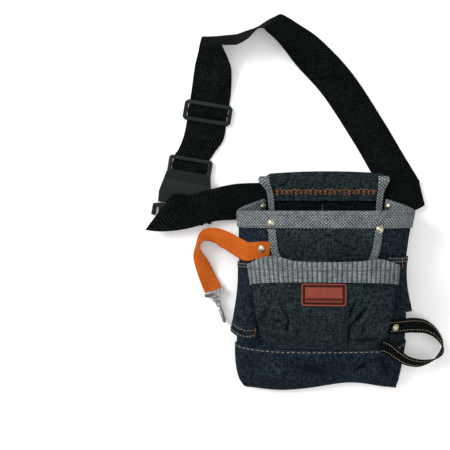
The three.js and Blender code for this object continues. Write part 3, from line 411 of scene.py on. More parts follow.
def fold_height(folds, x, y):
    """Height of all the folds of a table at one place."""
    height = 0.0
    for fold in folds:
        lean = math.radians(fold["lean"])
        c, s = math.cos(lean), math.sin(lean)
        along = ((x - fold["x"]) * c + (y - fold["y"]) * s) / fold["reach"]
        aside = ((y - fold["y"]) * c - (x - fold["x"]) * s) / fold["width"]
        if abs(along) < FOLD_CUT and abs(aside) < FOLD_CUT:
            height += fold["height"] * math.exp(-along * along - aside * aside)
    return height


def painted_fold_shade(folds, x, y):
    """Share of painted shade that a fold holds, up to 1; below 0 where a ridge gets a painted highlight."""
    height = fold_height(folds, x, y)
    return ease(-height, *FOLD_PAINTED_SHADE["dark"]) - FOLD_PAINTED_SHADE["rubbed"] * ease(height, *FOLD_PAINTED_SHADE["pale"])


def slack(x, y, size, height):
    """Low, uneven waves of slack cloth."""
    return height * noise.noise(Vector((x / size, y / size, size)))


def hem_arch(x, y):
    """Rise of the bottom edge, which pulls up on the right of its middle and sags on the left."""
    rise = sum(wave["rise"] * math.exp(-(((x - wave["x"]) / wave["span"]) ** 2)) for wave in HEM_WAVES)
    return section("body", round(y, 3))["hem"] * rise


def bend(share, power):
    """Sideways and outward shares of a rounded section, at a share of its run from left to right."""
    angle = math.pi * (1 - share)
    c = math.cos(angle)
    return math.copysign(abs(c) ** (2 / power), c), abs(math.sin(angle)) ** (2 / power)


def bend_share(x, reach, power):
    """Share of a rounded section's run at which it has the given x."""
    turn = math.acos(min(abs(x) / reach, 1.0) ** (power / 2)) / math.pi
    return turn if x < 0 else 1 - turn


def body_point(around, y, inset=0.0):
    """Point of the denim wall: share of the way round from the left back edge, height, depth."""
    row = section("body", round(y, 3))
    side, rise = bend(around, BODY_ROUND)
    x = side * (mix(row["back"], row[side_of(around - 0.5)], ease(rise, 0, FLARE_SHARE)) - inset)
    fold = fold_height(BODY_FOLDS, x, y) + slack(x, y, *SLACK["body"])
    z = row["foot"] + (row["depth"] - inset) * rise + fold * rise ** 2
    lift = row["lift"] * (1 - ease(rise, 0, LIFT_SHARE))
    return Vector((x, y + lift + hem_arch(x, y), z))


def around_at(x, y):
    """Share of the way round at which the body's front has the given x."""
    return bend_share(x, section("body", round(y, 3))[side_of(x)], BODY_ROUND)


def body_normal(around, y):
    step = 0.004
    across = body_point(around + step, y) - body_point(around - step, y)
    up = body_point(around, y + 1) - body_point(around, y - 1)
    return across.cross(up).normalized()


def on_body(around, y, height):
    """Place above the body's outer face."""
    return body_point(around, y) + body_normal(around, y) * height


def pocket_point(across, y, height=0.0):
    """Point of the front pocket's wall, across from its left to its right seam."""
    row = section("pocket", round(y, 3))
    side, rise = bend(across, POCKET_ROUND)
    name = side_of(side)
    x = side * (mix(row["join_" + name], row[name], ease(rise, 0, POCKET_FLARE)) + height)
    seat_x = min(max(x, -row["join_left"]), row["join_right"])
    seat = body_point(around_at(seat_x, y), y).z
    fold = (fold_height(POCKET_FOLDS, x, y) + slack(x, y, *SLACK["pocket"])) * rise ** 2
    z = seat + POCKET_OFFSET + (row["proud"] + height) * rise + fold * min(row["proud"] / FULL_FOLD, 1)
    return Vector((x, y, z))


def pocket_mouth(across):
    return column(POCKET_MOUTH, "across", "y", across)


def band_bottom(across):
    """Lower edge of the ribbed band, highest in its middle."""
    out = min(((2 * across - 1) / BAND["spread"]) ** 2, 1)
    return mix(BAND["middle"], BAND[side_of(across - 0.5)], out)


def on_pocket(x, y, height):
    """Place above the pocket's front at the given x."""
    reach = section("pocket", round(y, 3))[side_of(x)]
    return pocket_point(bend_share(x, reach, POCKET_ROUND), y, height)


def rib_share(u):
    """Height of the ribbed band's face, 0 in a valley and 1 on a rib."""
    return abs(math.sin(math.pi * BAND["ribs"] * u))


def near_seam(y, width):
    """How near a height is to the ribbed band's row of stitches, 0 to 1."""
    return math.exp(-(((y - BAND["seam"]) / width) ** 2))


def edge_distance(u, v, wide, tall):
    return min(min(u, 1 - u) * wide, min(v, 1 - v) * tall)


def label_depth(u, v):
    """Depth of the label's pressed lines, 0 to 1: a groove inside the border and a bar."""
    wide, tall = LABEL_SIZE
    edge = edge_distance(u, v, wide, tall)
    bar = ridge(v * tall, *LABEL["bar"]) * ease(edge, *LABEL["inner"])
    return max(ridge(edge, *LABEL["groove"]), 0.8 * bar)


def label_point(u, v):
    """Point of the label's face, with its corners drawn in to their round."""
    wide, tall = LABEL_SIZE
    x, y = mix(-wide / 2, wide / 2, u), mix(-tall / 2, tall / 2, v)
    core = Vector((wide / 2 - LABEL["corner"], tall / 2 - LABEL["corner"]))
    out = Vector((max(abs(x) - core.x, 0), max(abs(y) - core.y, 0)))
    if out.x and out.y:
        out *= max(out) / out.length
    x = math.copysign(min(abs(x), core.x) + out.x, x) + (LABEL["left"] + LABEL["right"]) / 2
    y = math.copysign(min(abs(y), core.y) + out.y, y) + (LABEL["bottom"] + LABEL["top"]) / 2
    return on_pocket(x, y, LABEL["low"] + LABEL["thick"] - LABEL["pressed"] * label_depth(u, v))


def corner_lift(x, y):
    """Rise of the flap's right corner over the belt."""
    right, up = (ease(value, CORNER_LIFT[key], CORNER_LIFT[key] + CORNER_LIFT["reach"])
                 for key, value in (("x", x), ("y", y)))
    return CORNER_LIFT["rise"] * right * up


def along_line(points, share):
    """Point at a share of the length of a run of short straight bits."""
    lengths = [(b - a).length for a, b in zip(points, points[1:])]
    left = share * sum(lengths)
    for a, b, length in zip(points, points[1:], lengths):
        if left <= length:
            return a.lerp(b, left / length)
        left -= length
    return points[-1].copy()


def half_turn(middle, radius, steps=12):
    """Points of a half circle from its top round its right to its bottom."""
    angles = [math.pi * (0.5 - k / steps) for k in range(steps + 1)]
    return [middle + Vector((math.cos(angle), math.sin(angle))) * radius for angle in angles]


def folded_edge(reach, thick, gap, tape):
    """Outer line of a tape folded over an edge: x out past the edge, y above the sheet's outer face."""
    radius = thick / 2 + gap + tape
    turn = half_turn(Vector((gap + tape - radius, -thick / 2)), radius)
    return [Vector((-reach, gap + tape)), *turn, Vector((-reach, -thick - gap - tape))]


def strap_route(rows):
    """Smooth middle line through a strap's rows: place, line across and width at a share of its run."""
    places = [Vector((row["x"], row["y"], row["z"])) for row in rows]
    places = [places[0] * 2 - places[1], *places, places[-1] * 2 - places[-2]]
    numbered = [{**row, "index": index} for index, row in enumerate(rows)]
    last = len(rows) - 1

    def middle(share):
        i = min(int(share * last), last - 1)
        a, b, c, d = places[i:i + 4]
        ab, bc, cd = ((q - p).length ** 0.5 for p, q in ((a, b), (b, c), (c, d)))
        leave = ((b - a) / ab - (c - a) / (ab + bc) + (c - b) / bc) * bc
        arrive = ((c - b) / bc - (d - b) / (bc + cd) + (d - c) / cd) * bc
        weights = hermite(share * last - i)
        return sum((part * weight for part, weight in zip((b, c, leave, arrive), weights)), Vector())

    def place(share, across, height=0.0):
        heading, tilt, width = (
            column(numbered, "index", name, share * last) for name in ("across", "tilt", "length"))
        heading, tilt = math.radians(heading), math.radians(tilt)
        flat = math.cos(tilt)
        line = Vector((flat * math.cos(heading), flat * math.sin(heading), math.sin(tilt)))
        step = 0.002
        along = middle(min(share + step, 1)) - middle(max(share - step, 0))
        normal = along.cross(line).normalized()
        return middle(share) + line * across * width + normal * height

    return place


class Finish:
    """A node material: its shader, and short calls that add nodes to it."""

    def __init__(self, name, roughness, metallic=0.0, sheen=0.0, specular=0.5):
        self.material = bpy.data.materials.new(name)
        self.material.use_nodes = True
        self.tree = self.material.node_tree
        self.shader = self.tree.nodes["Principled BSDF"]
        values = {
            "Roughness": roughness, "Metallic": metallic, "Sheen Weight": sheen,
            "Specular IOR Level": specular}
        for key, value in values.items():
            self.shader.inputs[key].default_value = value

    def add(self, kind, inputs, **settings):
        node = self.tree.nodes.new(kind)
        for name, value in settings.items():
            setattr(node, name, value)
        for key, value in inputs.items():
            if isinstance(value, bpy.types.NodeSocket):
                self.tree.links.new(value, node.inputs[key])
            else:
                node.inputs[key].default_value = value
        return node

    def math(self, operation, a, b=0.0):
        return self.add("ShaderNodeMath", {0: a, 1: b}, operation=operation).outputs[0]

    def plus(self, a, b):
        return self.math("ADD", a, b)

    def times(self, a, b):
        return self.math("MULTIPLY", a, b)

    def scaled(self, value, by, start):
        return self.plus(self.times(value, by), start)

    def between(self, value, low, high):
        """Value taken from low..high to 0..1, with its ends held."""
        inputs = {"Value": value, "From Min": low, "From Max": high}
        return self.add("ShaderNodeMapRange", inputs).outputs["Result"]

    def blend(self, share, a, b):
        inputs = {0: share, 6: as_colour(a), 7: as_colour(b)}
        return self.add("ShaderNodeMix", inputs, data_type="RGBA").outputs[2]

    def uv(self):
        """The piece's own cloth lengths, across and along, in metres."""
        coord = self.add("ShaderNodeTexCoord", {})
        parts = self.add("ShaderNodeSeparateXYZ", {0: coord.outputs["UV"]})
        return coord.outputs["UV"], parts.outputs[0], parts.outputs[1]

    def place(self):
        return self.add("ShaderNodeTexCoord", {}).outputs["Object"]

    def grain(self, where, size, detail=2.0, stretch=(1, 1, 1)):
        """Uneven patches of about the given size, 0 to 1."""
        turned = self.add("ShaderNodeMapping", {"Vector": where, "Scale": stretch})
        inputs = {"Vector": turned.outputs[0], "Scale": 1 / size, "Detail": detail, "Roughness": 0.6}
        return self.add("ShaderNodeTexNoise", inputs).outputs[0]

    def threads(self, where, pitch):
        """Rounded rows, one for each pitch, 0 to 1."""
        return self.scaled(self.math("SINE", self.times(where, 2 * math.pi / pitch)), 0.5, 0.5)

    def attribute(self, name):
        return self.add("ShaderNodeAttribute", {}, attribute_name=name).outputs["Fac"]

    def bump(self, height, depth, strength=1.0):
        node = self.add("ShaderNodeBump", {"Height": height, "Distance": depth, "Strength": strength})
        self.tree.links.new(node.outputs[0], self.shader.inputs["Normal"])

    def colour(self, value):
        self.tree.links.new(value, self.shader.inputs["Base Color"])

    def roughness(self, value):
        self.tree.links.new(value, self.shader.inputs["Roughness"])


def as_colour(value):
    return value if isinstance(value, bpy.types.NodeSocket) else (*value, 1.0)


def twill(finish, u, v, pitch):
    return finish.threads(finish.plus(u, v), pitch)


def plain_weave(finish, u, v, pitch):
    return finish.times(finish.threads(u, pitch), finish.threads(v, pitch))


def diamonds(finish, u, v, pitch):
    """Two crossing slants of thread, which leave small diamonds."""
    return finish.times(*(finish.threads(finish.math(turn, u, v), pitch) for turn in ("ADD", "SUBTRACT")))


def ribbed(finish, u, v, pitch):
    """Lengthwise ribs crossed by slanted picks, as in woven strapping."""
    slant = finish.threads(finish.plus(finish.math("PINGPONG", u, 2 * pitch), v), pitch)
    return finish.times(finish.threads(u, pitch), slant)


def woven(name, dark, light, weave, pitch, share, depth, slub=1.0, worn=0.0, pressed=0.0, gaps=0.12):
    """Cloth of dark and pale threads: its weave, uneven yarn, faded patches, rubbed edges, and painted shade
    in creases and valleys with a painted highlight on ridges.
    """
    finish = Finish(name, 0.92, specular=0.02)
    where, u, v = finish.uv()
    rows = weave(finish, u, v, pitch)
    slub_size, patch_size = 0.0026, 0.034
    slubs = (finish.grain(where, slub_size, 2.0, stretch) for stretch in ((1, 0.3, 1), (0.3, 1, 1)))
    yarn = finish.scaled(finish.between(finish.plus(*slubs), 0.82, 1.18), slub, 1 - slub)
    faded = finish.between(finish.grain(where, patch_size, 3.0), 0.3, 0.75)
    pale = finish.times(finish.scaled(rows, 1 - gaps, gaps), yarn)
    pale = finish.times(finish.times(pale, finish.scaled(faded, 0.7, 0.55)), share)
    if worn:
        pale = finish.plus(pale, finish.times(finish.attribute("rubbed"), finish.times(yarn, worn)))
    # Painted shade: darker in creases and rib valleys; where the layer is below 0, a painted highlight on
    # ridges
    if pressed:
        painted_shade_and_highlight = finish.times(finish.attribute("pressed"), pressed)
        pale = finish.times(pale, finish.math("SUBTRACT", 1.0, painted_shade_and_highlight))
    finish.colour(finish.blend(finish.math("MINIMUM", pale, 1.0), dark, light))
    finish.bump(finish.plus(rows, finish.times(yarn, 0.5)), depth)
    return finish.material


def moulded(name, base, worn):
    """Satin plastic with a fine grain, a few rubbed places and painted shade in its grooves."""
    finish = Finish(name, 0.5, specular=0.16)
    where = finish.place()
    grain_size, patch_size, groove = 0.0009, 0.016, 0.0025
    fine = finish.grain(where, grain_size, 2.0)
    face = finish.blend(finish.between(finish.grain(where, patch_size, 4.0), 0.42, 0.72), base, worn)
    # Painted shade: darker where ambient occlusion finds a groove
    open_sky = finish.add("ShaderNodeAmbientOcclusion", {"Distance": groove}, samples=8).outputs["AO"]
    painted_groove_shade = tuple(value * 0.25 for value in base)
    finish.colour(finish.blend(finish.between(open_sky, 0.5, 0.95), painted_groove_shade, face))
    finish.roughness(finish.scaled(fine, 0.2, 0.42))
    finish.bump(fine, 0.00006, 0.6)
    return finish.material


def plated(name, bright, dull):
    """Bright metal with dull spots and fine scratches."""
    finish = Finish(name, 0.25, metallic=1.0)
    where = finish.place()
    spot_size, scratch_size = 0.0035, 0.0006
    spots = finish.between(finish.grain(where, spot_size, 4.0), 0.45, 0.75)
    finish.colour(finish.blend(spots, bright, dull))
    finish.roughness(finish.scaled(spots, 0.25, 0.3))
    finish.bump(finish.grain(where, scratch_size, 2.0, (1, 6, 1)), 0.00003, 0.4)
    return finish.material


def patch_face(name, face, groove):
    """Soft moulded patch: fine grain, darker pressed lines."""
    finish = Finish(name, 0.6, specular=0.15)
    where = finish.uv()[0]
    pore_size, cloud_size = 0.0011, 0.011
    shade = finish.between(finish.grain(where, cloud_size, 3.0), 0.2, 0.9)
    uneven = finish.blend(finish.times(shade, 0.3), face, groove)
    finish.colour(finish.blend(finish.attribute("pressed"), uneven, groove))
    finish.bump(finish.grain(where, pore_size, 3.0), 0.0001, 0.7)
    return finish.material


def twisted(name, colour):
    """Sewing thread with uneven dye."""
    finish = Finish(name, 0.7, sheen=0.2, specular=0.3)
    where = finish.place()
    dye_size, twist_size = 0.0022, 0.0007
    shade = finish.between(finish.grain(where, dye_size, 2.0), 0.3, 0.7)
    finish.colour(finish.blend(shade, tuple(value * 0.6 for value in colour), colour))
    finish.bump(finish.grain(where, twist_size, 1.0), 0.0001)
    return finish.material


# How each finish is made, from which colours, and the numbers of its weave, with the strength of the painted
# shade in its creases and valleys
FINISHES = {
    "denim": (woven, ("denim", "denim_light"), {
        "weave": twill, "pitch": 0.0024, "share": 1.0, "depth": 0.00028, "worn": 0.5, "pressed": 0.8}),
    "green_cloth": (woven, ("green", "green_light"), {
        "weave": plain_weave, "pitch": 0.0017, "share": 1.5, "depth": 0.00028, "worn": 0.2, "pressed": 0.8}),
    # Darker copy of the pocket cloth: painted shade for the inside of the pouch
    "inside_cloth": (woven, ("inside", "painted_shade_inside_light"), {
        "weave": plain_weave, "pitch": 0.0024, "share": 0.8, "depth": 0.0005}),
    "grey_tape": (woven, ("tape", "tape_light"), {
        "weave": diamonds, "pitch": 0.0044, "share": 2.1, "depth": 0.0009, "slub": 0.65, "gaps": 0.07}),
    "grey_rib": (woven, ("tape", "tape_light"), {
        "weave": plain_weave, "pitch": 0.002, "share": 1.6, "depth": 0.0004, "slub": 0.6, "gaps": 0.25,
        "pressed": 0.85}),
    "black_webbing": (woven, ("webbing", "webbing_light"), {
        "weave": diamonds, "pitch": 0.0048, "share": 0.9, "depth": 0.0007, "slub": 0.8, "gaps": 0.02,
        "pressed": 0.7}),
    "orange_webbing": (woven, ("orange", "orange_light"), {
        "weave": ribbed, "pitch": 0.0028, "share": 1.7, "depth": 0.0007, "slub": 0.3, "gaps": 0.25}),
    "red_patch": (patch_face, ("patch", "patch_dark"), {}),
    "dark_plastic": (moulded, ("plastic", "plastic_worn"), {}),
    "rivet_brass": (plated, ("brass", "brass_dull"), {}),
    "hook_steel": (plated, ("steel", "steel_dull"), {}),
    **{name: (twisted, (name,), {}) for name in ("tan_thread", "orange_thread", "grey_thread")},
}


@lru_cache(maxsize=None)
def finish_named(name):
    """The named material, made at its first use."""
    make, colours, options = FINISHES[name]
    shades = [tuple(getattr(bpy.context.scene.pouch_colours, colour)) for colour in colours]
    return make(name.title().replace("_", ""), *shades, **options)


def add_object(name, data):
    thing = bpy.data.objects.new(name, data)
    bpy.context.scene.collection.objects.link(thing)
    return thing


def round_edges(piece, width, segments, angle, harden=False):
    rounded = piece.modifiers.new("Rounded edge", "BEVEL")
    rounded.width = width
    rounded.segments = segments
    rounded.angle_limit = math.radians(angle)
    rounded.harden_normals = harden


def add_piece(name, bm, finish, body="pouch", node=None):
    """Puts a finished mesh into the scene, on its body and in place of its solid."""
    mesh = bpy.data.meshes.new(name)
    for face in bm.faces:
        face.smooth = True
    bm.to_mesh(mesh)
    bm.free()
    piece = add_object(name, mesh)
    mesh.materials.append(finish_named(finish))
    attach(piece, body)
    if node:
        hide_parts(node)
    return piece


def even_shares(path, count=400):
    """Turns a share of a path's length into the path's own share."""
    points = [path(k / count) for k in range(count + 1)]
    runs = [0.0]
    for a, b in zip(points, points[1:]):
        runs.append(runs[-1] + (b - a).length)

    def share(t):
        k = min(max(bisect(runs, t * runs[-1]) - 1, 0), count - 1)
        return min((k + (t * runs[-1] - runs[k]) / (runs[k + 1] - runs[k])) / count, 1.0)

    return share, runs[-1]


def sheet(name, node, finish, place, thick, offset=-1.0, pressed=None, folds=None, even=True):
    """Cloth over place(u, v) in millimetres, u to the right and v up, with its thickness behind it."""
    bm = bmesh.new()
    columns, rows = GRIDS[name]
    bmesh.ops.create_grid(bm, x_segments=columns, y_segments=rows, size=0.5, calc_uvs=True)
    shares = [(vert.co.x + 0.5, vert.co.y + 0.5) for vert in bm.verts]
    across, wide = even_shares(lambda t: place(t, 0.5))
    up, tall = even_shares(lambda t: place(0.5, t))
    wide, tall = wide * MM, tall * MM
    uv = bm.loops.layers.uv.verify()
    rubbed = bm.verts.layers.float.new("rubbed")
    # The pressed layer holds painted shade in creases and rib valleys, a painted highlight on ridges (below
    # 0), or the depth of the label's pressed lines
    shade = bm.verts.layers.float.new("pressed") if pressed or folds else None
    for vert, (u, v) in zip(bm.verts, shares):
        vert.co = (place(across(u), up(v)) if even else place(u, v)) * MM
        vert[rubbed] = math.exp(-edge_distance(u, v, wide, tall) / RUBBED_REACH)
        if shade:
            vert[shade] = pressed(u, v) if pressed else painted_fold_shade(folds, vert.co.x / MM, vert.co.y / MM)
        for loop in vert.link_loops:
            loop[uv].uv = (u * wide, v * tall)
    flat_area = sum(face.calc_area() for face in bm.faces)
    piece = add_piece(name, bm, finish, node=node)
    wall = piece.modifiers.new("Thickness", "SOLIDIFY")
    wall.thickness = thick
    wall.offset = offset
    wall.use_quality_normals = True
    round_edges(piece, bpy.context.scene.pouch_sizes.edge, 2, 70)
    return piece


def sew(bm, path, tight=1.0, samples=160):
    """A row of stitches along path(t, height) in millimetres."""
    sizes = bpy.context.scene.pouch_sizes
    share, length = even_shares(lambda t: path(t, 0.0), samples)
    count = max(int(length / ((sizes.stitch + sizes.stitch_gap) * tight / MM)), 1)
    half, wide, flat = sizes.stitch * tight / 2, sizes.thread / 2, sizes.thread * 0.4
    step, lift = 0.002, 0.1
    for k in range(count):
        t = share((k + 0.5) / count)
        along = (path(min(t + step, 1), 0.0) - path(max(t - step, 0), 0.0)).normalized()
        up = path(t, 1.0) - path(t, 0.0)
        up = (up - along * up.dot(along)).normalized()
        axes = (along * half, up.cross(along) * wide, up * flat)
        place = Matrix([(*axis, 0.0) for axis in axes] + [(*(path(t, lift) * MM), 1.0)]).transposed()
        bmesh.ops.create_icosphere(bm, subdivisions=1, radius=1.0, matrix=place)


def band_top(around):
    return mix(BAND_TOP[side_of(around - 0.5)], BAND_TOP["front"], math.sin(math.pi * around) ** 0.5)


def band_point(around, share, height):
    """Bottom band's place from its hem up to its top, with the puckers of its seam."""
    y = mix(BOTTOM_Y + BAND_TOP["hem"], band_top(around), share)
    near = math.exp(-((share - PUCKER["at"]) / PUCKER["span"]) ** 2)
    return on_body(around, y, height + PUCKER["height"] * math.sin(around * PUCKER["rate"]) * near)


def sleeve_low(spec, share):
    """Height of a sleeve's lower edge, which slants down toward the pocket."""
    return spec["rows"][-1]["y"] - spec["slant"] * ease(share, 0.3, 0.9)


def sleeve_point(spec, share, y, height):
    row = {name: column(spec["rows"], "y", name, y) for name in ("start", "end", "proud")}
    stand = SLEEVE_STAND + row["proud"] * math.sin(math.pi * share) ** SLEEVE_ROUND
    return on_body(mix(row["start"], row["end"], share), y, stand + height)


def flap_height(y):
    return column(FLAP, "y", "z", min(max(y, FLAP[0]["y"]), FLAP[-1]["y"]))


def pocket_tape_point(sign, y, out, height):
    edge = column(POCKET_BACK, "y", side_of(sign), y)
    return on_body(around_at(sign * (edge + out), y), y, height)


class POUCH_OT_back(bpy.types.Operator):
    """Back panel with its belt tunnel, the sheet inside, and their tapes"""
    bl_idname = "pouch.back"
    bl_label = "Back and tunnel"

    def execute(self, context):
        sizes = context.scene.pouch_sizes
        cloth = sizes.cloth / MM
        radius, top = TUNNEL["radius"], TUNNEL["top"]
        line = [Vector((row["y"], row["z"])) for row in FLAP]
        line += half_turn(Vector((top - radius - cloth / 2, cloth / 2 + radius)), radius)
        line += [Vector((y, cloth / 2)) for y in TUNNEL["back"]]

        def panel(u, v):
            y, z = along_line(line, v)
            half = column(BACK_EDGE, "y", "half", y)
            x = mix(-half, half, u)
            wave = max(slack(x, y, *SLACK["flap"]), TUNNEL["dip"]) * ease(abs(y - top), 0, 12)
            wave = (wave + fold_height(FLAP_FOLDS, x, y)) * ease(z, 3, 8)
            lip = TUNNEL["lip"] * (1 - ease(y - TUNNEL["hem"], 0, 5)) * ease(z, 6, 8)
            bow = TUNNEL["bow"] * (1 - (x / half) ** 2) * ease(y, TUNNEL["bow_from"], top)
            return Vector((x, y + hem_arch(x, y) + bow, z + corner_lift(x, y) + wave + lip))

        def inner(u, v):
            y = mix(INNER[-1]["y"], INNER[0]["y"], v)
            x = mix(-INNER_HALF, INNER_HALF, u)
            return Vector((x, y, column(INNER, "y", "z", y) + corner_lift(x, y)))

        sheet("tunnel_panel", "back_panel", "green_cloth", panel, sizes.cloth, 0.0,
              folds=FLAP_FOLDS)
        # The sheet inside takes the darker cloth, painted shade for the pouch's shaded inside
        sheet("inside_sheet", "inner_pocket", "inside_cloth", inner, sizes.lining, 0.0)
        for side, sign in SIDES:
            def tape(u, v):
                y = mix(BACK_TAPE[-1]["y"], BACK_TAPE[0]["y"], v)
                edge, z, wide = (column(BACK_TAPE, "y", name, y) for name in (side, "z", "wide"))
                x = sign * (edge - (1 - u if sign > 0 else u) * wide)
                thick = BACK_TAPE_THICK + BACK_TAPE_BULGE * math.sin(math.pi * u)
                return Vector((x, y, z + thick + corner_lift(x, y)))

            name, node = f"tunnel_tape_{side}", f"back_binding_{side}"
            sheet(name, node, "grey_tape", tape, BACK_TAPE_THICK * MM)
        return {"FINISHED"}


class POUCH_OT_body(bpy.types.Operator):
    """Denim wall, the tape over its rim, and the band round its bottom"""
    bl_idname = "pouch.body"
    bl_label = "Denim body"

    def execute(self, context):
        sizes = context.scene.pouch_sizes
        line = folded_edge(RIM_REACH, sizes.cloth / MM, RIM_GAP, sizes.tape / MM)

        def wall(u, v):
            return body_point(u, mix(BOTTOM_Y, RIM_Y, v))

        def rim(u, v):
            down, height = along_line(line, v)
            return on_body(u, RIM_Y + down, height)

        def band(u, v):
            return band_point(mix(BAND_TOP["inset"], 1 - BAND_TOP["inset"], u), v, BAND_TOP["height"])

        sheet("denim_wall", "main_wall", "denim", wall, sizes.cloth)
        sheet("rim_tape", "rim_binding", "grey_tape", rim, sizes.tape)
        sheet("denim_band", "bottom_band", "denim", band, sizes.lining, folds=BODY_FOLDS)
        return {"FINISHED"}


class POUCH_OT_pocket(bpy.types.Operator):
    """Front pocket with its back sheet, tapes, ribbed band and label patch"""
    bl_idname = "pouch.pocket"
    bl_label = "Front pocket"

    def execute(self, context):
        sizes = context.scene.pouch_sizes
        lining = sizes.lining / MM
        low = POCKET_TAPE["low"]
        top, bottom = POCKET_BACK[0]["y"], POCKET_BACK[-1]["y"]

        def back(u, v):
            y = mix(bottom, top, v)
            x = mix(-column(POCKET_BACK, "y", "left", y), column(POCKET_BACK, "y", "right", y), u)
            return on_body(around_at(x, y), y, low + lining)

        sheet("pocket_lining", "pocket_back", "green_cloth", back, sizes.lining)
        line = folded_edge(POCKET_TAPE["reach"], lining, POCKET_TAPE["gap"], sizes.tape / MM)
        for side, sign in SIDES:
            def tape(u, v):
                y = mix(mix(top, bottom, POCKET_TAPE["share"]), top, v)
                out, height = along_line(line, u if sign > 0 else 1 - u)
                return pocket_tape_point(sign, y, out, low + lining + height)

            sheet(f"pocket_tape_{side}", f"pocket_binding_{side}", "grey_tape", tape, sizes.tape)

        def wall(u, v):
            return pocket_point(u, mix(POCKET_BOTTOM, pocket_mouth(u), v))

        outside, inside = BAND["low"] + BAND["thick"], -sizes.cloth / MM - BAND["inside"]
        even, _ = even_shares(lambda t: pocket_point(mix(BAND["from"], BAND["to"], t), BAND["level"]))

        def band(u, v):
            across = mix(BAND["from"], BAND["to"], even(u))
            edge = pocket_mouth(across) - BAND["below"]
            outer, rolled = BAND["outer"], BAND["rolled"]
            end = BAND["end"] * (1 - ease(min(u, 1 - u), 0, 0.08))
            relief = BAND["rib_height"] * rib_share(u) ** 0.7
            if v < outer:
                y = mix(band_bottom(across), edge, v / outer)
                height = outside + end + relief * (1 - 0.7 * near_seam(y, 1.2))
            elif v < rolled:
                angle = math.pi * (v - outer) / (rolled - outer)
                y = edge + BAND["roll"] * math.sin(angle)
                height = mix(inside, outside + end + relief, (1 + math.cos(angle)) / 2)
            else:
                y = edge - BAND["turned"] * (v - rolled) / (1 - rolled)
                height = inside
            return pocket_point(across, y, height)

        # Painted shade in the valleys between the ribs and along the band's row of stitches
        def painted_rib_shade(u, v):
            across = mix(BAND["from"], BAND["to"], even(u))
            y = mix(band_bottom(across), pocket_mouth(across) - BAND["below"], min(v / BAND["outer"], 1))
            return max(1 - ease(rib_share(u), 0.15, 0.7), 0.5 * near_seam(y, 1.1))

        sheet("pocket_bag", "pocket_wall", "green_cloth", wall, sizes.cloth, folds=POCKET_FOLDS)
        sheet("ribbed_band", "pocket_band", "grey_rib", band, BAND["thick"] * MM, pressed=painted_rib_shade,
              even=False)
        thick = (LABEL["thick"] - LABEL["pressed"]) * MM
        sheet("label", "label_patch", "red_patch", label_point, thick, pressed=label_depth)
        return {"FINISHED"}


class POUCH_OT_sleeves(bpy.types.Operator):
    """Open denim sleeves on both sides"""
    bl_idname = "pouch.sleeves"
    bl_label = "Side sleeves"

    def execute(self, context):
        sizes = context.scene.pouch_sizes
        for side, spec in SLEEVES.items():
            def sleeve(u, v):
                share = u if side == "left" else 1 - u
                low, high = sleeve_low(spec, share), spec["rows"][0]["y"]
                y = mix(low, high, v)
                hem = SLEEVE_HEM * (1 - ease(y - low, 10, 11) + ease(y - high, -8, -7))
                return sleeve_point(spec, share, y, sizes.cloth / MM + hem)

            sheet(f"sleeve_{side}", f"side_sleeve_{side}", "denim", sleeve, sizes.cloth)
        return {"FINISHED"}


class POUCH_OT_straps(bpy.types.Operator):
    """Belt, hammer loop and lanyard strap"""
    bl_idname = "pouch.straps"
    bl_label = "Straps"

    def execute(self, context):
        straps = (
            ("waist_belt", "belt", "black_webbing", BELT),
            ("tool_loop", "hammer_loop", "black_webbing", HAMMER_LOOP),
            ("orange_strap", "lanyard_strap", "orange_webbing", LANYARD),
        )
        thick = context.scene.pouch_sizes.webbing
        for name, node, finish, rows in straps:
            route = strap_route(rows)
            sheet(name, node, finish, lambda u, v: route(v, u - 0.5), thick, 0.0, folds=BELT_FOLDS)
        return {"FINISHED"}


class POUCH_OT_rivets(bpy.types.Operator):
    """Domed rivets on tapes and straps"""
    bl_idname = "pouch.rivets"
    bl_label = "Rivets"

    def execute(self, context):
        sizes = context.scene.pouch_sizes
        radius, tall = sizes.rivet_radius, sizes.rivet_height
        profile = [(radius * r, tall * z) for r, z in RIVET_FLANGE]
        for k in range(RIVET_DOME["steps"] + 1):
            angle = math.pi / 2 * k / RIVET_DOME["steps"]
            rise = mix(RIVET_DOME["low"], 1, math.sin(angle))
            profile.append((RIVET_DOME["wide"] * radius * math.cos(angle), tall * rise))
        for name, spec in RIVETS.items():
            around = spec["around"] if "around" in spec else around_at(spec["x"], spec["at"])
            normal = body_normal(around, spec["y"]) * (-1 if spec["height"] < 0 else 1)
            bm = bmesh.new()
            verts = [bm.verts.new((r, 0, z)) for r, z in profile]
            edges = [bm.edges.new(pair) for pair in zip(verts, verts[1:])]
            bmesh.ops.spin(
                bm, geom=verts + edges, cent=(0, 0, 0), axis=(0, 0, 1), angle=2 * math.pi,
                steps=sizes.rivet_sides, use_merge=True)
            bmesh.ops.remove_doubles(bm, verts=bm.verts[:], dist=SMALLEST_EDGE)
            bmesh.ops.holes_fill(bm, edges=bm.edges[:], sides=sizes.rivet_sides)
            bmesh.ops.recalc_face_normals(bm, faces=bm.faces[:])
            turn = normal.to_track_quat("Z", "Y").to_matrix().to_4x4()
            place = Matrix.Translation(on_body(around, spec["y"], spec["height"]) * MM)
            bm.transform(place @ turn)
            add_piece(f"rivet_cap_{name}", bm, "rivet_brass", node=f"rivet_{name}")
        return {"FINISHED"}


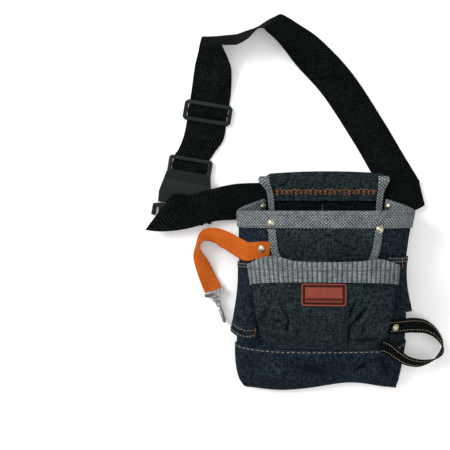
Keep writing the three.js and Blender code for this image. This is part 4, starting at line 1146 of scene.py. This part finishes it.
def rounded_copy(name, node, finish, edge, body="pouch", bars=()):
    """The node's own solid with its edges rounded, and with bars raised on it in the buckle's frame."""
    bm = bmesh.new()
    bm.from_mesh(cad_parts[node].data)
    bmesh.ops.remove_doubles(bm, verts=bm.verts[:], dist=SMALLEST_EDGE)
    bmesh.ops.dissolve_limit(bm, angle_limit=math.radians(1), verts=bm.verts[:], edges=bm.edges[:])
    turn = Matrix.Rotation(math.radians(BUCKLE["turn"]), 4, "Z")
    at = Matrix.Translation(Vector((BUCKLE["x"], BUCKLE["y"], BUCKLE["top"])) * MM) @ turn
    for x, y, z, size in bars:
        place = at @ Matrix.Translation(Vector((x, y, z)) * MM)
        bmesh.ops.create_cube(bm, size=1.0, matrix=place @ Matrix.Diagonal((*(Vector(size) * MM), 1.0)))
    round_edges(add_piece(name, bm, finish, body=body, node=node), edge, 3, 35, harden=True)


class POUCH_OT_buckle(bpy.types.Operator):
    """Belt slider and both halves of the fastened buckle"""
    bl_idname = "pouch.buckle"
    bl_label = "Buckle and slider"

    def execute(self, context):
        edge = context.scene.pouch_sizes.plastic_edge
        rounded_copy("slider", "belt_slider", "dark_plastic", edge)
        rounded_copy("buckle_socket", "buckle_female", "dark_plastic", edge, bars=SOCKET_BARS)
        rounded_copy("buckle_tongue", "buckle_male", "dark_plastic", edge, bars=TONGUE_BARS)
        return {"FINISHED"}


class POUCH_OT_hook(bpy.types.Operator):
    """Crimp on the lanyard's end, snap hook and its gate"""
    bl_idname = "pouch.hook"
    bl_label = "Snap hook"

    def execute(self, context):
        edge = context.scene.pouch_sizes.metal_edge
        rounded_copy("strap_crimp", "lanyard_crimp", "hook_steel", edge)
        rounded_copy("snap_hook", "hook_body", "hook_steel", edge, "hook")
        rounded_copy("snap_gate", "hook_gate", "hook_steel", edge, "gate")
        return {"FINISHED"}


class POUCH_OT_stitching(bpy.types.Operator):
    """Rows of thread on seams, hems, straps and flap"""
    bl_idname = "pouch.stitching"
    bl_label = "Stitching"

    def execute(self, context):
        tan, orange, grey = bmesh.new(), bmesh.new(), bmesh.new()
        band, sleeve, tack, ribs, loop, rim, tape, inner, flap = SEAMS.values()

        def at(seam, t):
            return mix(*seam["ends"], t)

        sew(tan, lambda t, h: band_point(at(band, t), band["share"], band["height"] + h), 1.6, 260)
        for side, spec in SLEEVES.items():
            high = spec["rows"][0]["y"]
            for down in sleeve["down"]:
                sew(tan, lambda t, h: sleeve_point(spec, at(sleeve, t), high - down, sleeve["height"] + h))
            for up in sleeve["up"] if side == "left" else ():
                sew(tan, lambda t, h: sleeve_point(
                    spec, at(sleeve, t), sleeve_low(spec, at(sleeve, t)) + up, sleeve["height"] + h))
            share = tack[side]
            foot = sleeve_low(spec, share) if side == "left" else high - tack["down"]
            sew(orange, lambda t, h: sleeve_point(
                spec, share, foot + tack["long"] * t, tack["height"] + h), 0.5)
        on_ribs = BAND["low"] + ribs["height"]
        sew(grey, lambda t, h: pocket_point(at(ribs, t), BAND["seam"], on_ribs + h), samples=300)
        route = strap_route(HAMMER_LOOP)
        for across in loop["across"]:
            for face in (-1, 1):
                sew(tan, lambda t, h: route(at(loop, t), across, face * (loop["height"] + h)))
        for up in rim["up"]:
            y = RIM_Y - RIM_REACH + up
            sew(grey, lambda t, h: body_point(at(rim, t), y, -rim["height"] - h), samples=260)
        for _, sign in SIDES:
            for out in tape["out"]:
                sew(grey, lambda t, h: pocket_tape_point(sign, at(tape, t), out, tape["height"] + h))

        def inner_seam(t, h):
            y = at(inner, t)
            return Vector((inner["x"], y, column(INNER, "y", "z", y) + inner["height"] + h))

        def flap_loops(t, h):
            angle = 2 * math.pi * flap["turns"] * t
            x = at(flap, t) + flap["swing"] * math.sin(angle)
            tall = flap["swing"] + flap["rise"] * max(math.sin(angle / flap["beat"]), 0)
            y = flap["y"] + tall * math.cos(angle)
            return Vector((x, y, flap_height(y) + flap["height"] + h + corner_lift(x, y)))

        sew(orange, inner_seam)
        sew(orange, flap_loops, tight=0.8, samples=1400)
        add_piece("tan_stitches", tan, "tan_thread")
        add_piece("orange_stitches", orange, "orange_thread")
        add_piece("grey_stitches", grey, "grey_thread")
        return {"FINISHED"}


class POUCH_OT_stage(bpy.types.Operator):
    """Pale floor, soft studio lights and the camera"""
    bl_idname = "pouch.stage"
    bl_label = "Stage"

    def execute(self, context):
        scene = context.scene
        floor = bmesh.new()
        bmesh.ops.create_grid(floor, x_segments=2, y_segments=2, size=FLOOR_SIZE)
        mesh = bpy.data.meshes.new("floor")
        floor.to_mesh(mesh)
        floor.free()
        ground = add_object("floor", mesh)
        paper = Finish("Paper", 0.9, specular=0.1)
        paper.shader.inputs["Emission Color"].default_value = (1, 1, 1, 1)
        paper.shader.inputs["Emission Strength"].default_value = FLOOR_GLOW
        shade = paper.grain(paper.place(), 0.2, 2.0)
        pale = tuple(scene.pouch_colours.floor)
        paper.colour(paper.blend(shade, pale, tuple(value * 0.98 for value in pale)))
        mesh.materials.append(paper.material)
        for name, (at, size, power) in LIGHTS.items():
            data = bpy.data.lights.new(name, "AREA")
            data.shape = "SQUARE"
            data.size = size
            data.energy = power
            lamp = add_object(name, data)
            lamp.location = at
            lamp.rotation_euler = (-Vector(at)).to_track_quat("-Z", "Y").to_euler()
        world = bpy.data.worlds.new("studio")
        world.use_nodes = True
        sky = world.node_tree.nodes["Background"].inputs
        sky["Color"].default_value = (1, 1, 1, 1)
        sky["Strength"].default_value = WORLD_LIGHT
        scene.world = world
        scene.view_settings.view_transform = "Standard"
        data = bpy.data.cameras.new("camera")
        data.angle = math.radians(CAMERA_VIEW)
        camera = add_object("camera", data)
        behind = (Vector(CAMERA_AT) - Vector(CAMERA_AIM)).normalized()
        right = Vector((0, 1, 0)).cross(behind).normalized()
        axes = Matrix((right, behind.cross(right), behind)).transposed()
        camera.matrix_world = Matrix.Translation(CAMERA_AT) @ axes.to_4x4()
        scene.camera = camera
        return {"FINISHED"}


OPERATORS = (
    POUCH_OT_stage, POUCH_OT_back, POUCH_OT_body, POUCH_OT_pocket, POUCH_OT_sleeves, POUCH_OT_straps,
    POUCH_OT_rivets, POUCH_OT_buckle, POUCH_OT_hook, POUCH_OT_stitching,
)


class POUCH_PT_panel(bpy.types.Panel):
    """Buttons for the pouch's pieces, with their sizes and colours"""
    bl_idname = "POUCH_PT_panel"
    bl_label = "Tool Pouch"
    bl_space_type = "VIEW_3D"
    bl_region_type = "UI"
    bl_category = "Tool Pouch"

    def draw(self, context):
        for operator in OPERATORS:
            self.layout.operator(operator.bl_idname)
        for group in (context.scene.pouch_sizes, context.scene.pouch_colours):
            box = self.layout.box()
            for name in type(group).__annotations__:
                box.prop(group, name)


CLASSES = (PouchSizes, PouchColours, *OPERATORS, POUCH_PT_panel)


def register():
    for cls in CLASSES:
        bpy.utils.register_class(cls)
    bpy.types.Scene.pouch_sizes = PointerProperty(type=PouchSizes)
    bpy.types.Scene.pouch_colours = PointerProperty(type=PouchColours)


def unregister():
    del bpy.types.Scene.pouch_colours
    del bpy.types.Scene.pouch_sizes
    for cls in reversed(CLASSES):
        bpy.utils.unregister_class(cls)


def main():
    register()
    bpy.ops.pouch.stage()
    bpy.ops.pouch.back()
    bpy.ops.pouch.body()
    bpy.ops.pouch.pocket()
    bpy.ops.pouch.sleeves()
    bpy.ops.pouch.straps()
    bpy.ops.pouch.rivets()
    bpy.ops.pouch.buckle()
    bpy.ops.pouch.hook()
    bpy.ops.pouch.stitching()
    bpy.context.view_layer.update()


if __name__ == "__main__":
    main()
